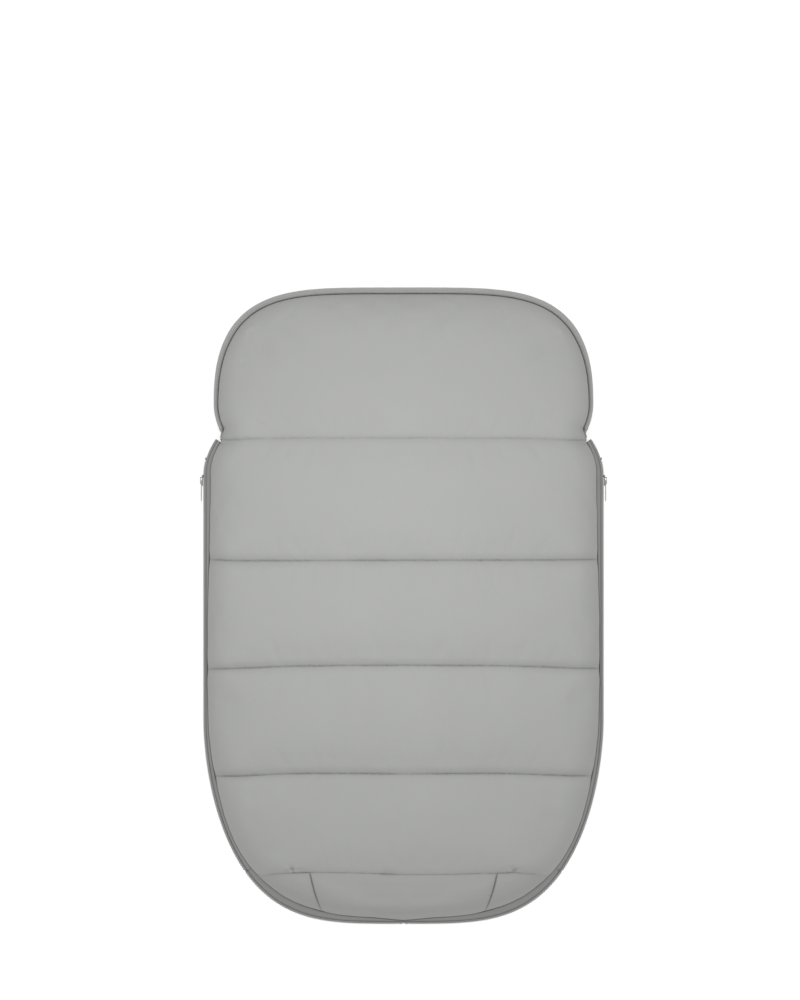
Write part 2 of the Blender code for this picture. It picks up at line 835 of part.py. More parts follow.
def make_stops(cover):
    """Stops: one at the top of each row, and one round both rows at the foot end."""
    above = ROW_DROP - gap
    run = chain_end_x - tape_end_x - gap
    half = tooth_half_depth
    both = [(Vector((-half, z)), Vector((half, z))) for z in (mat_row_z, cover_row_top)]
    for side, sign in (("left", -1), ("right", 1)):
        for name, low, parent in (("mat", mat_row_z, None), ("cover", cover_row_z, cover)):
            sweep(
                "top_stop_%s_%s" % (name, side), (ROW_STATION, ROW_STATION), sign, row_section(low),
                SLIDER_GREY, 0.4, parent=parent, trims=(above - stop_length, -above),
            )
        sweep(
            "bottom_stop_" + side, (LAST_STATION, LAST_STATION), sign, lambda i: both, SLIDER_GREY, 0.4,
            trims=(-run, run - stop_length),
        )


def fuse(part, name, bm):
    """Join a shape to a part with a union, keeping the shape as a hidden guide."""
    bmesh.ops.recalc_face_normals(bm, faces=bm.faces)
    mesh = bpy.data.meshes.new(name)
    bm.to_mesh(mesh)
    bm.free()
    guide = bpy.data.objects.new(name, mesh)
    guide.hide_render = True
    guide.display_type = "WIRE"
    bpy.context.collection.objects.link(guide)
    union = part.modifiers.new(name, "BOOLEAN")
    union.operation = "UNION"
    union.object = guide
    guide.parent = part


def make_slider(side, sign):
    """Slider on the straight run of one zip, with its pull under a bridge on the outer plate."""
    middle_z = mat_row_z + row_height + row_slot / 2
    outer = tooth_half_depth + gap
    face = outer + slider_plate
    half = slider_length / 2
    place = Vector((sign * chain_half_width, slider_rest_y, middle_z))
    slider_axis = add_axis("slider_axis_" + side, place)
    bar = face + gap + pull_depth / 2
    pull_axis = add_axis("pull_axis_" + side, place + Vector((sign * bar, 0.0, 0.0)), slider_axis)

    def beside(p, out):
        return place + Vector((sign * out, p.x, p.y))

    cut = slider_height * slider_chamfer_share
    tall = slider_height / 2
    outline = [
        Vector((-half, cut - tall)), Vector((cut - half, -tall)), Vector((half, -tall)),
        Vector((half, tall)), Vector((cut - half, tall)), Vector((-half, tall - cut)),
    ]
    body = plate(
        "slider_" + side, [outline], outer, slider_plate, SLIDER_GREY, 0.4, 0.6, slider_axis, beside,
    )
    fuse(body, "slider_inner_plate_" + side, prism([outline], -face, slider_plate, beside))
    post = rectangle(half - slider_post_length / 2, 0.0, slider_post_length, slider_post_height)
    sunk = slider_plate / 2
    fuse(body, "slider_post_" + side, prism([post], -outer - sunk, 2 * (outer + sunk), beside))
    room = pull_depth + 2 * gap
    inner_half = bridge_half_length - bridge_foot
    arch = [
        Vector((-bridge_half_length, face - sunk)), Vector((-inner_half, face - sunk)),
        Vector((-inner_half, face + room)), Vector((inner_half, face + room)),
        Vector((inner_half, face - sunk)), Vector((bridge_half_length, face - sunk)),
        Vector((bridge_half_length, face + room + bridge_beam)),
        Vector((-bridge_half_length, face + room + bridge_beam)),
    ]
    fuse(body, "slider_bridge_" + side, prism(
        [arch], -bridge_width / 2, bridge_width,
        lambda p, h: place + Vector((sign * p.y, p.x, h)),
    ))
    wide = pull_width / 2
    inner_wide = wide - pull_arm
    top = pull_depth / 2
    tab = [
        Vector((top, -wide)), Vector((top, wide)), Vector((wide - pull_length, wide)),
        Vector((-pull_length, inner_wide / 2)), Vector((-pull_length, -inner_wide / 2)),
        Vector((wide - pull_length, -wide)),
    ]
    window = rectangle(-top - pull_window_length / 2, 0.0, pull_window_length, 2 * inner_wide)
    plate(
        "pull_" + side, [tab, window], bar - pull_depth / 2, pull_depth, SLIDER_GREY, 0.4, 0.6, pull_axis,
        beside,
    )


def main():
    for item in list(bpy.data.objects):
        bpy.data.objects.remove(item, do_unlink=True)
    seam_top = padded_point(0.0, foot_seam_y, 0.0, 0.0).z
    cover = add_axis("cover_axis", Vector((0.0, foot_seam_y, seam_top + hinge_rise)))
    collar_top = padded_point(0.0, collar_seam_y, 0.0, 0.0).z
    collar = add_axis("collar_axis", Vector((0.0, collar_seam_y, collar_top + hinge_rise)), cover)
    make_mat()
    make_zips(cover)
    make_stops(cover)
    make_foot_cap()
    make_cover(cover)
    make_collar(collar)
    make_slider("left", -1)
    make_slider("right", 1)


main()
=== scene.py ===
# Looks of the stroller footmuff: quilted cover, collar, foot cap and mat, zips, stitches and grips,
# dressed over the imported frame. Lengths are in metres, +Y is the head end and the bag lies on its back.
import json
import math

import bmesh
import bpy
import numpy as np
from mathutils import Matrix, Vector
from mathutils.geometry import delaunay_2d_cdt


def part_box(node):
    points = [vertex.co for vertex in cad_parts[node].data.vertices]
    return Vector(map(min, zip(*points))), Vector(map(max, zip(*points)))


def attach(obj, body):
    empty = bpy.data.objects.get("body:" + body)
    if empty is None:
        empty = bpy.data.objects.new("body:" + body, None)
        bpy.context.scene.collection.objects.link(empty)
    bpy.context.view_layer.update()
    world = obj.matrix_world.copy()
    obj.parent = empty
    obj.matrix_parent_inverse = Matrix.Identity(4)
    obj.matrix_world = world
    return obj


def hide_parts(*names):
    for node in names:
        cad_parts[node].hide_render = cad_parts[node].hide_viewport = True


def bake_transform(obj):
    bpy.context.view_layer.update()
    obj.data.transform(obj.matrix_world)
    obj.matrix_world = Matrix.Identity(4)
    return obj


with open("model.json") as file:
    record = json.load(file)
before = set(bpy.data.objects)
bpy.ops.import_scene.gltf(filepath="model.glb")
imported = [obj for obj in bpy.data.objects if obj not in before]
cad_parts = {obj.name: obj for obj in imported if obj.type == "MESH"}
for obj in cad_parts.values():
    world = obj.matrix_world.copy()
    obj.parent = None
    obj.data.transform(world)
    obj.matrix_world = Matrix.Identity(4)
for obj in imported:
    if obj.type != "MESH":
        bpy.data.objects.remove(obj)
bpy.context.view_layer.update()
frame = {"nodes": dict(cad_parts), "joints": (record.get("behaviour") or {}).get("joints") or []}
scene = bpy.context.scene
joints = {joint["name"]: joint for joint in frame["joints"]}
print("frame loaded:", len(frame["nodes"]), "nodes")

# Plan of the bag, right half: the zip chain runs down the side and round the foot end
plan = {
    "chainHalf": 0.2495,
    "footCurveY": -0.1425,
    "footCurveLength": 0.2544,
    "footSidePower": 3.8,
    "footEndPower": 1.8,
    "zipTopY": 0.20875,
    "hemWaver": 0.0004,
    "hemWaves": (0.014, 0.027, 0.055),
    "zipTuck": 0.015,
    "zipTuckLength": 0.045,
    "tapeShow": 0.0094,
    "tapeShowAt": (0, 0.07, 0.17, 0.28, 0.39, 0.492, 0.531, 0.576, 0.62, 0.666, 0.712, 0.759, 0.806, 0.852, 0.898,
                   0.942, 0.984, 1),
    "tapeShowShares": (0.80, 1, 0.84, 0.60, 0.53, 0.72, 0.80, 0.85, 0.78, 0.78, 0.94, 1.22, 1.28, 1.24, 1.0,
                       0.90, 0.62, 0.50),
    "headHalf": 0.23725,
    "headCurveY": 0.2525,
    "headCurveLength": 0.1456,
    "headSidePower": 4.4,
    "headEndPower": 2.5,
    "headPoints": 241,
    "shoulderY": 0.2175,
    "shoulderHalf": 0.2286,
    "shoulderSteps": 12,
    "neck": ((0.2310, 0.2102), (0.2299, 0.2125), (0.2290, 0.2150)),   # the collar's edge below its shoulders
    "neckStep": 0.0006,
    "neckSmooth": 3,
    "neckRadius": 0.0011,
    "pinchYs": (0.2152, 0.2214),
    "pipingRadius": 0.004,
    "pipingSideShare": 0.7,
    "pipingClear": 0.0008,
    "fineStep": 0.0005,
    "batch": 2000,   # spots measured together
}
collarSeamY = joints["collar_fold"]["pos_m"][1]
footSeamY = joints["cover_open"]["pos_m"][1]
seamGap = 0.0003
fillNodes = ["channel_fill_%d" % i for i in (4, 3, 2, 1)]
seamYs = [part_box(name)[0].y - seamGap for name in fillNodes] + [collarSeamY]

# Heights of the padding over the floor
pad = {
    "rimZ": 0.046,
    "rollReach": 0.030,
    "footReach": 0.010,
    "roll": 0.038,
    "headRoll": 0.020,
    "crown": 0.014,
    "footCrown": 0.0125,
    "headCrown": 0.008,
    "puff": 0.006,
    "innerPuff": 0.0055,
    "creaseReach": 0.020,
    "creasePower": 2.5,
    "seamFill": 0.003,
    "collarFill": 0.007,
    "skin": 0.0015,
    "deepest": 0.0037,
    "liningGap": 0.0006,
    "lining": 0.0012,
}

seamWander = {   # how far each seam strays headwards from straight, from the bag's left to its right
    "at": (-0.245, -0.22, -0.20, -0.185, -0.17, -0.14, -0.11, -0.06, 0,
           0.06, 0.11, 0.14, 0.17, 0.185, 0.20, 0.22, 0.245),
    "millimetres": (
        (0, 0, 0, -0.3, -2.2, 0.4, 1.6, 0.6, -1.6, -1.2, 0.2, 1.0, -2.6, -0.3, 0, 0, 0),
        (-3.8, -3.4, -2.7, -1.8, -0.9, 0.3, 0.8, 0.6, 0, 0.4, 0.6, 0.2, -0.9, -1.6, -2.3, -3.0, -3.4),
        (-2.4, -1.6, -0.7, 0, 0.6, 1.8, 2.2, 2.8, 3.0, 2.7, 2.4, 1.9, 0.9, 0.3, -0.3, -1.0, -1.8),
        (1.0, -0.3, -0.7, -0.65, -0.6, -0.5, -0.4, -0.2, 0, 0.1, 0.2, 0.2, 0.3, 0.35, 0.4, 0.6, 0.9),
        (-2.4, -2.0, -1.2, -0.8, -0.5, -0.3, -0.1, 0, 0, -0.1, -0.3, -0.5, -1.0, -1.4, -1.9, -2.6, -3.0),
    ),
    "halfSpan": 0.26,
    "points": 521,
    "smoothPoints": 25,
    "smoothWidth": 11,
    "tremble": 0.00022,
    "trembleWaves": (0.009, 0.017, 0.033),
    "trembleSeed": 70,
    "reach": 0.050,
}


def lengthsAlong(points):
    return np.append(0, np.cumsum(np.linalg.norm(np.diff(points, axis=0), axis=1)))


def pointsAt(at, lengths, points):   # places on a path at some lengths along it
    return np.stack([np.interp(at, lengths, column) for column in points.T], 1)


def resample(points, step):   # the same path with points evenly spaced, and their lengths along it
    points = np.asarray(points, float)
    lengths = lengthsAlong(points)
    count = max(int(round(lengths[-1] / step)), 1) + 1
    at = np.linspace(0, lengths[-1], count)
    return pointsAt(at, lengths, points), at


def waysAlong(path):   # unit direction of travel at each point
    way = np.gradient(path, axis=0)
    return way / np.linalg.norm(way, axis=1)[:, None]


def outwardNormals(path):   # to the right of a path that runs down the right side
    way = waysAlong(path)
    return np.stack([-way[:, 1], way[:, 0]], 1)


def chainPath():
    u = np.linspace(0, 3, 3001)   # up to 1 the tuck at the top, up to 2 the straight side, up to 3 the foot end
    top = plan["zipTopY"] - plan["zipTuckLength"]
    turn = np.radians(90 * np.clip(u - 2, 0, 1))
    across = np.clip(np.cos(turn), 0, 1) ** (2 / plan["footSidePower"])
    down = np.sin(turn) ** (2 / plan["footEndPower"])
    x = plan["chainHalf"] * across - plan["zipTuck"] * np.clip(1 - u, 0, 1) ** 2
    y = plan["zipTopY"] - plan["zipTuckLength"] * np.clip(u, 0, 1)
    y += (plan["footCurveY"] - top) * np.clip(u - 1, 0, 1) - plan["footCurveLength"] * down
    x[-1] = 0
    return resample(np.stack([x, y], 1), plan["fineStep"])


def ripple(x, y, waves, seed):   # gentle unevenness: a few crossed waves of random phase
    random = np.random.default_rng(seed)
    total = np.zeros_like(x)
    for wave in waves:
        for _ in range(3):
            angle, phase = random.uniform(0, math.tau, 2)
            total += np.sin(math.tau * (x * math.cos(angle) + y * math.sin(angle)) / wave + phase)
    return total / (3 * len(waves))


chain, chainLengths = chainPath()
chainNormals = outwardNormals(chain)
chainShows = plan["tapeShow"] * np.interp(
    chainLengths / chainLengths[-1], plan["tapeShowAt"], plan["tapeShowShares"])
chainShows += plan["hemWaver"] * ripple(chainLengths, chainLengths * 0, plan["hemWaves"], 3)


def lengthAtY(y):   # how far down the chain a height lies
    return np.interp(-y, -chain[:, 1], chainLengths)


def pipingRadiusAt(y):   # slimmer down the collar's sides than round its head end
    share = np.clip((y - plan["headCurveY"]) / plan["headCurveLength"], 0, 1)
    swell = np.minimum(1, 2 * share ** (plan["headEndPower"] / 2))
    side = plan["pipingSideShare"]
    radius = plan["pipingRadius"] * (side + (1 - side) * swell)
    low, high = plan["pinchYs"]
    pinch = np.clip((y - low) / (high - low), 0, 1)
    return plan["neckRadius"] + (radius - plan["neckRadius"]) * pinch * pinch * (3 - 2 * pinch)


def headOutline(inset):   # collar's outline moved in, from the shoulder to the middle of the head end
    shares = np.arange(plan["shoulderSteps"]) / plan["shoulderSteps"]
    shoulderX = plan["headHalf"] - (plan["headHalf"] - plan["shoulderHalf"]) * (1 - shares) ** 2
    shoulderYs = plan["shoulderY"] + (plan["headCurveY"] - plan["shoulderY"]) * shares
    turn = np.radians(np.linspace(0, 90, plan["headPoints"]))
    x = plan["headHalf"] * np.clip(np.cos(turn), 0, 1) ** (2 / plan["headSidePower"])
    y = plan["headCurveY"] + plan["headCurveLength"] * np.sin(turn) ** (2 / plan["headEndPower"])
    outline = np.stack([np.append(shoulderX, x), np.append(shoulderYs, y)], 1)
    count = plan["shoulderSteps"] + 1
    low, _ = resample(np.array([*plan["neck"], *outline[:count]]), plan["neckStep"])
    span = plan["neckSmooth"]
    window = 2 * span + 1
    low[span:-span] = sum(low[i:len(low) - 2 * span + i] for i in range(window)) / window
    outline = np.concatenate([low, outline[count:]])
    moved = outline + outwardNormals(outline) * inset(outline[:, 1])[:, None]
    moved[-1, 0] = 0
    return moved


def shellInset(y):
    return 2 * pipingRadiusAt(y) + plan["pipingClear"]


hem = chain - chainNormals * chainShows[:, None]
hem[-1, 0] = 0
rim = np.concatenate([hem[::-4], headOutline(shellInset)])
rimWays = np.diff(rim, axis=0)
rimSquares = (rimWays ** 2).sum(1)
rimSquareness = np.abs(np.gradient(rim[:, 1])) / np.linalg.norm(np.gradient(rim, axis=0), axis=1)


def nearestRim(spots):   # distance in from the hem, and the way out to it, seen from above
    here = np.stack([np.abs(spots[:, 0]), spots[:, 1]], 1)
    far = np.zeros(len(here))
    out = np.zeros((len(here), 2))
    for start in range(0, len(here), plan["batch"]):
        part = here[start:start + plan["batch"]]
        share = ((part[:, None] - rim[:-1]) * rimWays).sum(2) / rimSquares
        near = rim[:-1] + rimWays * np.clip(share, 0, 1)[..., None]
        best = ((part[:, None] - near) ** 2).sum(2).argmin(1)
        ways = rimWays[best] / np.sqrt(rimSquares[best])[:, None]
        normal = np.stack([ways[:, 1], -ways[:, 0]], 1)
        offset = near[np.arange(len(part)), best] - part
        reach = np.linalg.norm(offset, axis=1)
        inside = (offset * normal).sum(1) > 0
        clear = inside & (reach > 1e-5)
        normal[clear] = offset[clear] / reach[clear, None]
        far[start:start + len(part)] = np.where(inside, reach, 0)
        out[start:start + len(part)] = normal
    out[:, 0] *= np.where(spots[:, 0] < 0, -1, 1)
    return far, out


def rimXAt(y):
    return np.interp(y, rim[:, 1], rim[:, 0])


def padForm(spots):   # the bag's quarter-round roll and crown, for plan points in rows
    shape = spots.shape[:-1]
    flat = spots.reshape(-1, 2)
    far, out = nearestRim(flat)
    x, y = flat.T
    head = np.clip((y - collarSeamY) / (rim[-1, 1] + shellInset(rim[-1, 1]) - collarSeamY), 0, 1)
    foot = np.clip((seamYs[2] - y) / (seamYs[2] - seamYs[0]), 0, 1)
    roll = pad["roll"] + (pad["headRoll"] - pad["roll"]) * head
    crown = pad["crown"] + (pad["headCrown"] - pad["crown"]) * head + (pad["footCrown"] - pad["crown"]) * foot
    reach = pad["rollReach"] + pad["footReach"] * foot
    turn = np.arccos(1 - np.minimum(far / reach, 1))
    across = roll * np.cos(turn)
    upward = reach * np.sin(turn)
    length = np.hypot(across, upward)
    arch = crown * np.clip(1 - (x / plan["chainHalf"]) ** 2, 0, None)
    z = pad["rimZ"] + (roll + arch) * np.sin(turn)
    base = np.stack([x, y, z], 1)
    lean = np.stack([out[:, 0] * across / length, out[:, 1] * across / length, upward / length], 1)
    return {
        "base": base.reshape(*shape, 3), "lean": lean.reshape(*shape, 3), "far": far.reshape(shape),
        "edge": np.sin(turn).reshape(shape), "x": x.reshape(shape), "y": y.reshape(shape),
    }


def padLayer(form, swell, depth):
    return form["base"] + form["lean"] * (swell * form["edge"] - depth)[..., None]


def crease(distance):   # 0 on a seam, 1 where the padding has risen
    return 1 - np.clip(1 - distance / pad["creaseReach"], 0, 1) ** pad["creasePower"]


def shallow(depth):   # grooves level off before they meet the cloth below
    least = -pad["deepest"]
    return np.where(depth < 0, least * np.tanh(depth / least), depth)


def bump(distance, width):   # 1 in the middle of a groove or dimple, fading beside it
    return np.exp(-(distance / width) ** 2)


def awayFrom(x, y, start, end):   # distance from a straight line between two places
    (ax, ay), (bx, by) = start, end
    wayX, wayY = bx - ax, by - ay
    share = np.clip(((x - ax) * wayX + (y - ay) * wayY) / (wayX ** 2 + wayY ** 2), 0, 1)
    return np.hypot(x - ax - share * wayX, y - ay - share * wayY)


sway = {"lean": 60, "least": 0.6, "swing": 0.4, "beat": 0.46}


def gathers(x, away, waves, seed):   # small folds that run off a seam
    random = np.random.default_rng(seed)
    total = np.zeros_like(x)
    for wave in waves:
        phase, lean, beat = random.uniform(0, math.tau, 3)
        fold = np.sin(math.tau * x / wave + phase + (lean - 3) * away * sway["lean"])
        total += fold * (sway["least"] + sway["swing"] * np.sin(x * sway["beat"] / wave + beat))
    return total / len(waves)


def seamLines():   # the strays of the five seams, smoothed, with a slight tremble of the needle
    across = np.linspace(-seamWander["halfSpan"], seamWander["halfSpan"], seamWander["points"])
    reach = seamWander["smoothPoints"]
    kernel = np.exp(-(np.arange(-reach, reach + 1) / seamWander["smoothWidth"]) ** 2)
    lines = []
    for index, stray in enumerate(seamWander["millimetres"]):
        line = np.interp(across, seamWander["at"], np.array(stray) / 1000)
        line = np.convolve(np.pad(line, reach, mode="edge"), kernel / kernel.sum(), "valid")
        tremble = ripple(across, across * 0, seamWander["trembleWaves"], seamWander["trembleSeed"] + index)
        lines.append(line + seamWander["tremble"] * tremble)
    return across, lines


wanderAt, wanderLines = seamLines()


def wandered(x, y, reach=None):   # heights of a row's points once the seams stray
    moved = y.copy()
    for seamY, line in zip(seamYs, wanderLines):
        near = np.clip(np.abs(y - seamY) / (reach or seamWander["reach"]), 0, 1)
        moved += np.interp(x, wanderAt, line) * (0.5 + 0.5 * np.cos(math.pi * near))
    return moved


def linked(name, data):   # a new object in the scene
    made = bpy.data.objects.new(name, data)
    scene.collection.objects.link(made)
    return made


def addUv(mesh, perVertex):
    corners = np.empty(len(mesh.loops), np.int32)
    mesh.loops.foreach_get("vertex_index", corners)
    layer = mesh.uv_layers.new(name="cloth")
    layer.data.foreach_set("uv", perVertex[corners].astype(np.float32).ravel())


def addValue(mesh, name, values):
    mesh.attributes.new(name, "FLOAT", "POINT").data.foreach_set("value", values.astype(np.float32).ravel())


def newPiece(name, points, faces, materials, faceSlots=None, sharpAngle=50):
    mesh = bpy.data.meshes.new(name)
    mesh.from_pydata(np.asarray(points, float).tolist(), [], [list(map(int, f)) for f in faces])
    for material in materials:
        mesh.materials.append(material)
    if faceSlots is not None:
        mesh.polygons.foreach_set("material_index", np.asarray(faceSlots, np.int32))
    shell = bmesh.new()
    shell.from_mesh(mesh)
    bmesh.ops.recalc_face_normals(shell, faces=shell.faces)
    shell.to_mesh(mesh)
    shell.free()
    mesh.shade_smooth()
    mesh.set_sharp_from_angle(angle=math.radians(sharpAngle))
    return linked(name, mesh)


def dress(piece, slot, *nodes, body=None):   # its finish (not used), the CAD nodes it stands for, and the body it rides on
    if nodes:
        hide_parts(*nodes)
    if body:
        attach(piece, body)
    return piece


def gridFaces(rows, columns, start=0):
    index = np.arange(rows * columns).reshape(rows, columns) + start
    return np.stack([index[:-1, :-1], index[:-1, 1:], index[1:, 1:], index[1:, :-1]], -1).reshape(-1, 4)


def tubeFaces(stations, sides, start=0):   # walls of a tube of rings, then its two ends
    index = np.arange(stations * sides).reshape(stations, sides) + start
    onward = np.roll(index, -1, axis=1)
    walls = np.stack([index[:-1], onward[:-1], onward[1:], index[1:]], -1).reshape(-1, 4)
    return [*walls, index[0][::-1], index[-1]]


def gridEdge(rows, columns):   # indices round the border of a grid
    index = np.arange(rows * columns).reshape(rows, columns)
    return np.concatenate([index[0, :-1], index[:-1, -1], index[-1, :0:-1], index[:0:-1, 0]])


def gridBody(name, top, bottom, materials, values=None):   # closed quilt between two grids
    rows, columns = top.shape[:2]
    count = rows * columns
    border = gridEdge(rows, columns)
    onward = np.roll(border, -1)
    walls = np.stack([border, onward, onward + count, border + count], 1)
    faces = np.concatenate([gridFaces(rows, columns), gridFaces(rows, columns, count)[:, ::-1], walls])
    upper = (rows - 1) * (columns - 1)
    slots = np.zeros(len(faces))
    slots[upper:2 * upper] = len(materials) - 1
    piece = newPiece(name, np.concatenate([top.reshape(-1, 3), bottom.reshape(-1, 3)]), faces, materials, slots)
    steps = np.linalg.norm(np.diff(top, axis=1), axis=2)
    across = np.concatenate([np.zeros((rows, 1)), np.cumsum(steps, axis=1)], 1)
    across -= across[:, -1:] / 2
    along = lengthsAlong(top[:, columns // 2])
    uv = np.stack([across, np.repeat(along[:, None], columns, 1)], -1).reshape(-1, 2)
    addUv(piece.data, np.concatenate([uv, uv]))
    for key, value in (values or {}).items():
        addValue(piece.data, key, np.concatenate([value.ravel(), value.ravel()]))
    return piece


# Shared finishes, built once as node groups
def wire(tree, source, target):
    if isinstance(source, bpy.types.NodeSocket):
        tree.links.new(source, target)
    else:
        target.default_value = source


def feed(tree, node, **values):   # gives each named input a link or a plain value
    for name, value in values.items():
        wire(tree, value, node.inputs[name.replace("_", " ")])
    return node


def addNode(tree, kind, settings=None, **values):
    made = tree.nodes.new(kind)
    for name, value in (settings or {}).items():
        setattr(made, name, value)
    return feed(tree, made, **values)


def maths(tree, operation, first, second=0.0, third=None, clamp=False):
    made = addNode(tree, "ShaderNodeMath", {"operation": operation, "use_clamp": clamp})
    for index, value in enumerate((first, second, third)):
        if value is not None:
            wire(tree, value, made.inputs[index])
    return made.outputs[0]


def scaledBy(tree, colour, factor):
    made = addNode(tree, "ShaderNodeVectorMath", {"operation": "SCALE"}, Scale=factor)
    wire(tree, colour, made.inputs[0])
    return made.outputs[0]


def noise(tree, vector, scale, detail=2.0, roughness=0.5):
    made = addNode(tree, "ShaderNodeTexNoise", Vector=vector, Scale=scale, Detail=detail, Roughness=roughness)
    return made.outputs["Fac"]


def startGroup(name, inputs, outputs, kind="ShaderNodeTree"):   # sockets: name, kind and, where it matters, value
    group = bpy.data.node_groups.new(name, kind)
    for way, sockets in (("INPUT", inputs), ("OUTPUT", outputs)):
        for label, sort, *value in sockets:
            made = group.interface.new_socket(name=label, in_out=way, socket_type="NodeSocket" + sort)
            if value:
                made.default_value = value[0]
    return group, group.nodes.new("NodeGroupInput").outputs, group.nodes.new("NodeGroupOutput")


def toneGroup():   # colour that drifts a little over the cloth
    group, given, leave = startGroup("clothTone", (
        ("Vector", "Vector"), ("Colour", "Color", (0.5, 0.5, 0.5, 1)), ("Drift", "Float", 0.04),
        ("Patch Scale", "Float", 18.0), ("Fleck", "Float", 0.03), ("Fleck Scale", "Float", 700.0),
    ), (("Colour", "Color"),))
    drifts = []
    for scale, detail, amount in (("Patch Scale", 3.0, "Drift"), ("Fleck Scale", 1.0, "Fleck")):
        spread = maths(group, "SUBTRACT", noise(group, given["Vector"], given[scale], detail), 0.5)
        drifts.append(maths(group, "MULTIPLY", spread, given[amount]))
    factor = maths(group, "ADD", 1.0, maths(group, "MULTIPLY", maths(group, "ADD", *drifts), 2.0))
    feed(group, leave, Colour=scaledBy(group, given["Colour"], factor))
    return group


def weaveGroup():   # plain weave: threads that pass over and under each other
    group, given, leave = startGroup("plainWeave", (
        ("Vector", "Vector"), ("Thread", "Float", 0.0006), ("Stretch", "Float", 1.0), ("Slub", "Float", 0.3),
    ), (("Height", "Float"),))
    split = addNode(group, "ShaderNodeSeparateXYZ", Vector=given["Vector"]).outputs
    wander = maths(group, "MULTIPLY", noise(group, given["Vector"], 260.0), given["Slub"])
    stretched = maths(group, "MULTIPLY", given["Thread"], given["Stretch"])
    waves = []
    for axis, width in (("X", given["Thread"]), ("Y", stretched)):
        threads = maths(group, "ADD", maths(group, "DIVIDE", split[axis], width), wander)
        waves.append(maths(group, "SINE", maths(group, "MULTIPLY", threads, math.pi)))
    crossing = maths(group, "MULTIPLY", *waves)
    feed(group, leave, Height=maths(group, "ADD", maths(group, "MULTIPLY", crossing, 0.5), 0.5))
    return group


def pileGroup():   # brushed or knitted surface without threads
    group, given, leave = startGroup("softPile", (
        ("Vector", "Vector"), ("Tuft Scale", "Float", 500.0),
    ), (("Height", "Float"),))
    tuft = noise(group, given["Vector"], given["Tuft Scale"], 5.0, 0.65)
    lay = noise(group, given["Vector"], maths(group, "MULTIPLY", given["Tuft Scale"], 0.12))
    feed(group, leave, Height=maths(group, "ADD", tuft, lay))
    return group


def wearGroup():   # raised spots rubbed pale
    group, given, leave = startGroup("handWear", (
        ("Vector", "Vector"), ("Colour", "Color", (0.5, 0.5, 0.5, 1)), ("Rubbed", "Color", (0.6, 0.6, 0.6, 1)),
        ("Amount", "Float", 0.3), ("Spot Scale", "Float", 400.0),
    ), (("Colour", "Color"), ("Mask", "Float")))
    shape = addNode(group, "ShaderNodeNewGeometry")
    edges = maths(group, "SUBTRACT", shape.outputs["Pointiness"], 0.5)
    raised = maths(group, "MULTIPLY", edges, 6.0, clamp=True)
    spots = maths(group, "MULTIPLY", noise(group, given["Vector"], given["Spot Scale"], 3.0), 0.4)
    mask = maths(group, "MULTIPLY", maths(group, "ADD", raised, spots), given["Amount"], clamp=True)
    mixed = addNode(
        group, "ShaderNodeMix", {"data_type": "RGBA"}, Factor=mask, A=given["Colour"], B=given["Rubbed"])
    feed(group, leave, Colour=mixed.outputs["Result"], Mask=mask)
    return group


groups = {"tone": toneGroup(), "weave": weaveGroup(), "pile": pileGroup(), "wear": wearGroup()}


def useGroup(tree, key, **values):
    return addNode(tree, "ShaderNodeGroup", {"node_tree": groups[key]}, **values).outputs


def blankMaterial(name):
    material = bpy.data.materials.new(name)
    material.use_nodes = True
    tree = material.node_tree
    return material, tree, tree.nodes["Principled BSDF"]


def alongCloth(tree):   # the piece's own UV map, in metres
    return addNode(tree, "ShaderNodeUVMap", {"uv_map": "cloth"}).outputs[0]


def onBody(tree):
    return addNode(tree, "ShaderNodeTexCoord").outputs["Object"]


def addBump(tree, shader, height, distance, strength=1.0, **under):
    made = addNode(tree, "ShaderNodeBump", Height=height, Distance=distance, Strength=strength, **under)
    feed(tree, shader, Normal=made.outputs[0])
    return made.outputs[0]


# patches that make the painted crease shade uneven
creaseLook = {"patchScale": 430.0, "swing": 1.9, "least": 0.05}


def paintedCreaseShade(tree, colour, amount):   # painted shade: darker where the piece's crease values say that it turns in, unevenly in patches
    mark = addNode(tree, "ShaderNodeAttribute", {"attribute_name": "crease"})
    patches = noise(tree, onBody(tree), creaseLook["patchScale"], 1.0)
    uneven = maths(tree, "MULTIPLY_ADD", patches, creaseLook["swing"] * amount, creaseLook["least"] * amount)
    depth = maths(tree, "MULTIPLY", mark.outputs["Fac"], uneven)
    return scaledBy(tree, colour, maths(tree, "SUBTRACT", 1.0, depth))


# painted shade: the cloth's crease setting darkens it where it turns in
clothLook = {
    "drift": 0.025, "patchScale": 14.0, "fleck": 0.018, "fleckScale": 900.0, "thread": 0.0007, "slub": 0.5,
    "roughness": 0.92, "specular": 0.25, "sheen": 0.08, "sheenRoughness": 0.6, "crumpleScale": 60.0,
    "crumple": 0.0006, "threadHeight": 0.00012, "threadShow": 0.6, "creaseDark": 0.20,
}


def wovenCloth(name, colour, **changes):
    look = {**clothLook, **changes}
    material, tree, shader = blankMaterial(name)
    body = onBody(tree)
    tone = useGroup(
        tree, "tone", Vector=body, Colour=(*colour, 1), Drift=look["drift"], Patch_Scale=look["patchScale"],
        Fleck=look["fleck"], Fleck_Scale=look["fleckScale"])
    feed(
        tree, shader, Base_Color=paintedCreaseShade(tree, tone["Colour"], look["creaseDark"]), Roughness=look["roughness"],
        Specular_IOR_Level=look["specular"], Sheen_Weight=look["sheen"], Sheen_Roughness=look["sheenRoughness"])
    weave = useGroup(tree, "weave", Vector=alongCloth(tree), Thread=look["thread"], Slub=look["slub"])
    soft = addBump(tree, shader, noise(tree, body, look["crumpleScale"], 3.0, 0.55), look["crumple"])
    addBump(tree, shader, weave["Height"], look["threadHeight"], look["threadShow"], Normal=soft)
    return material


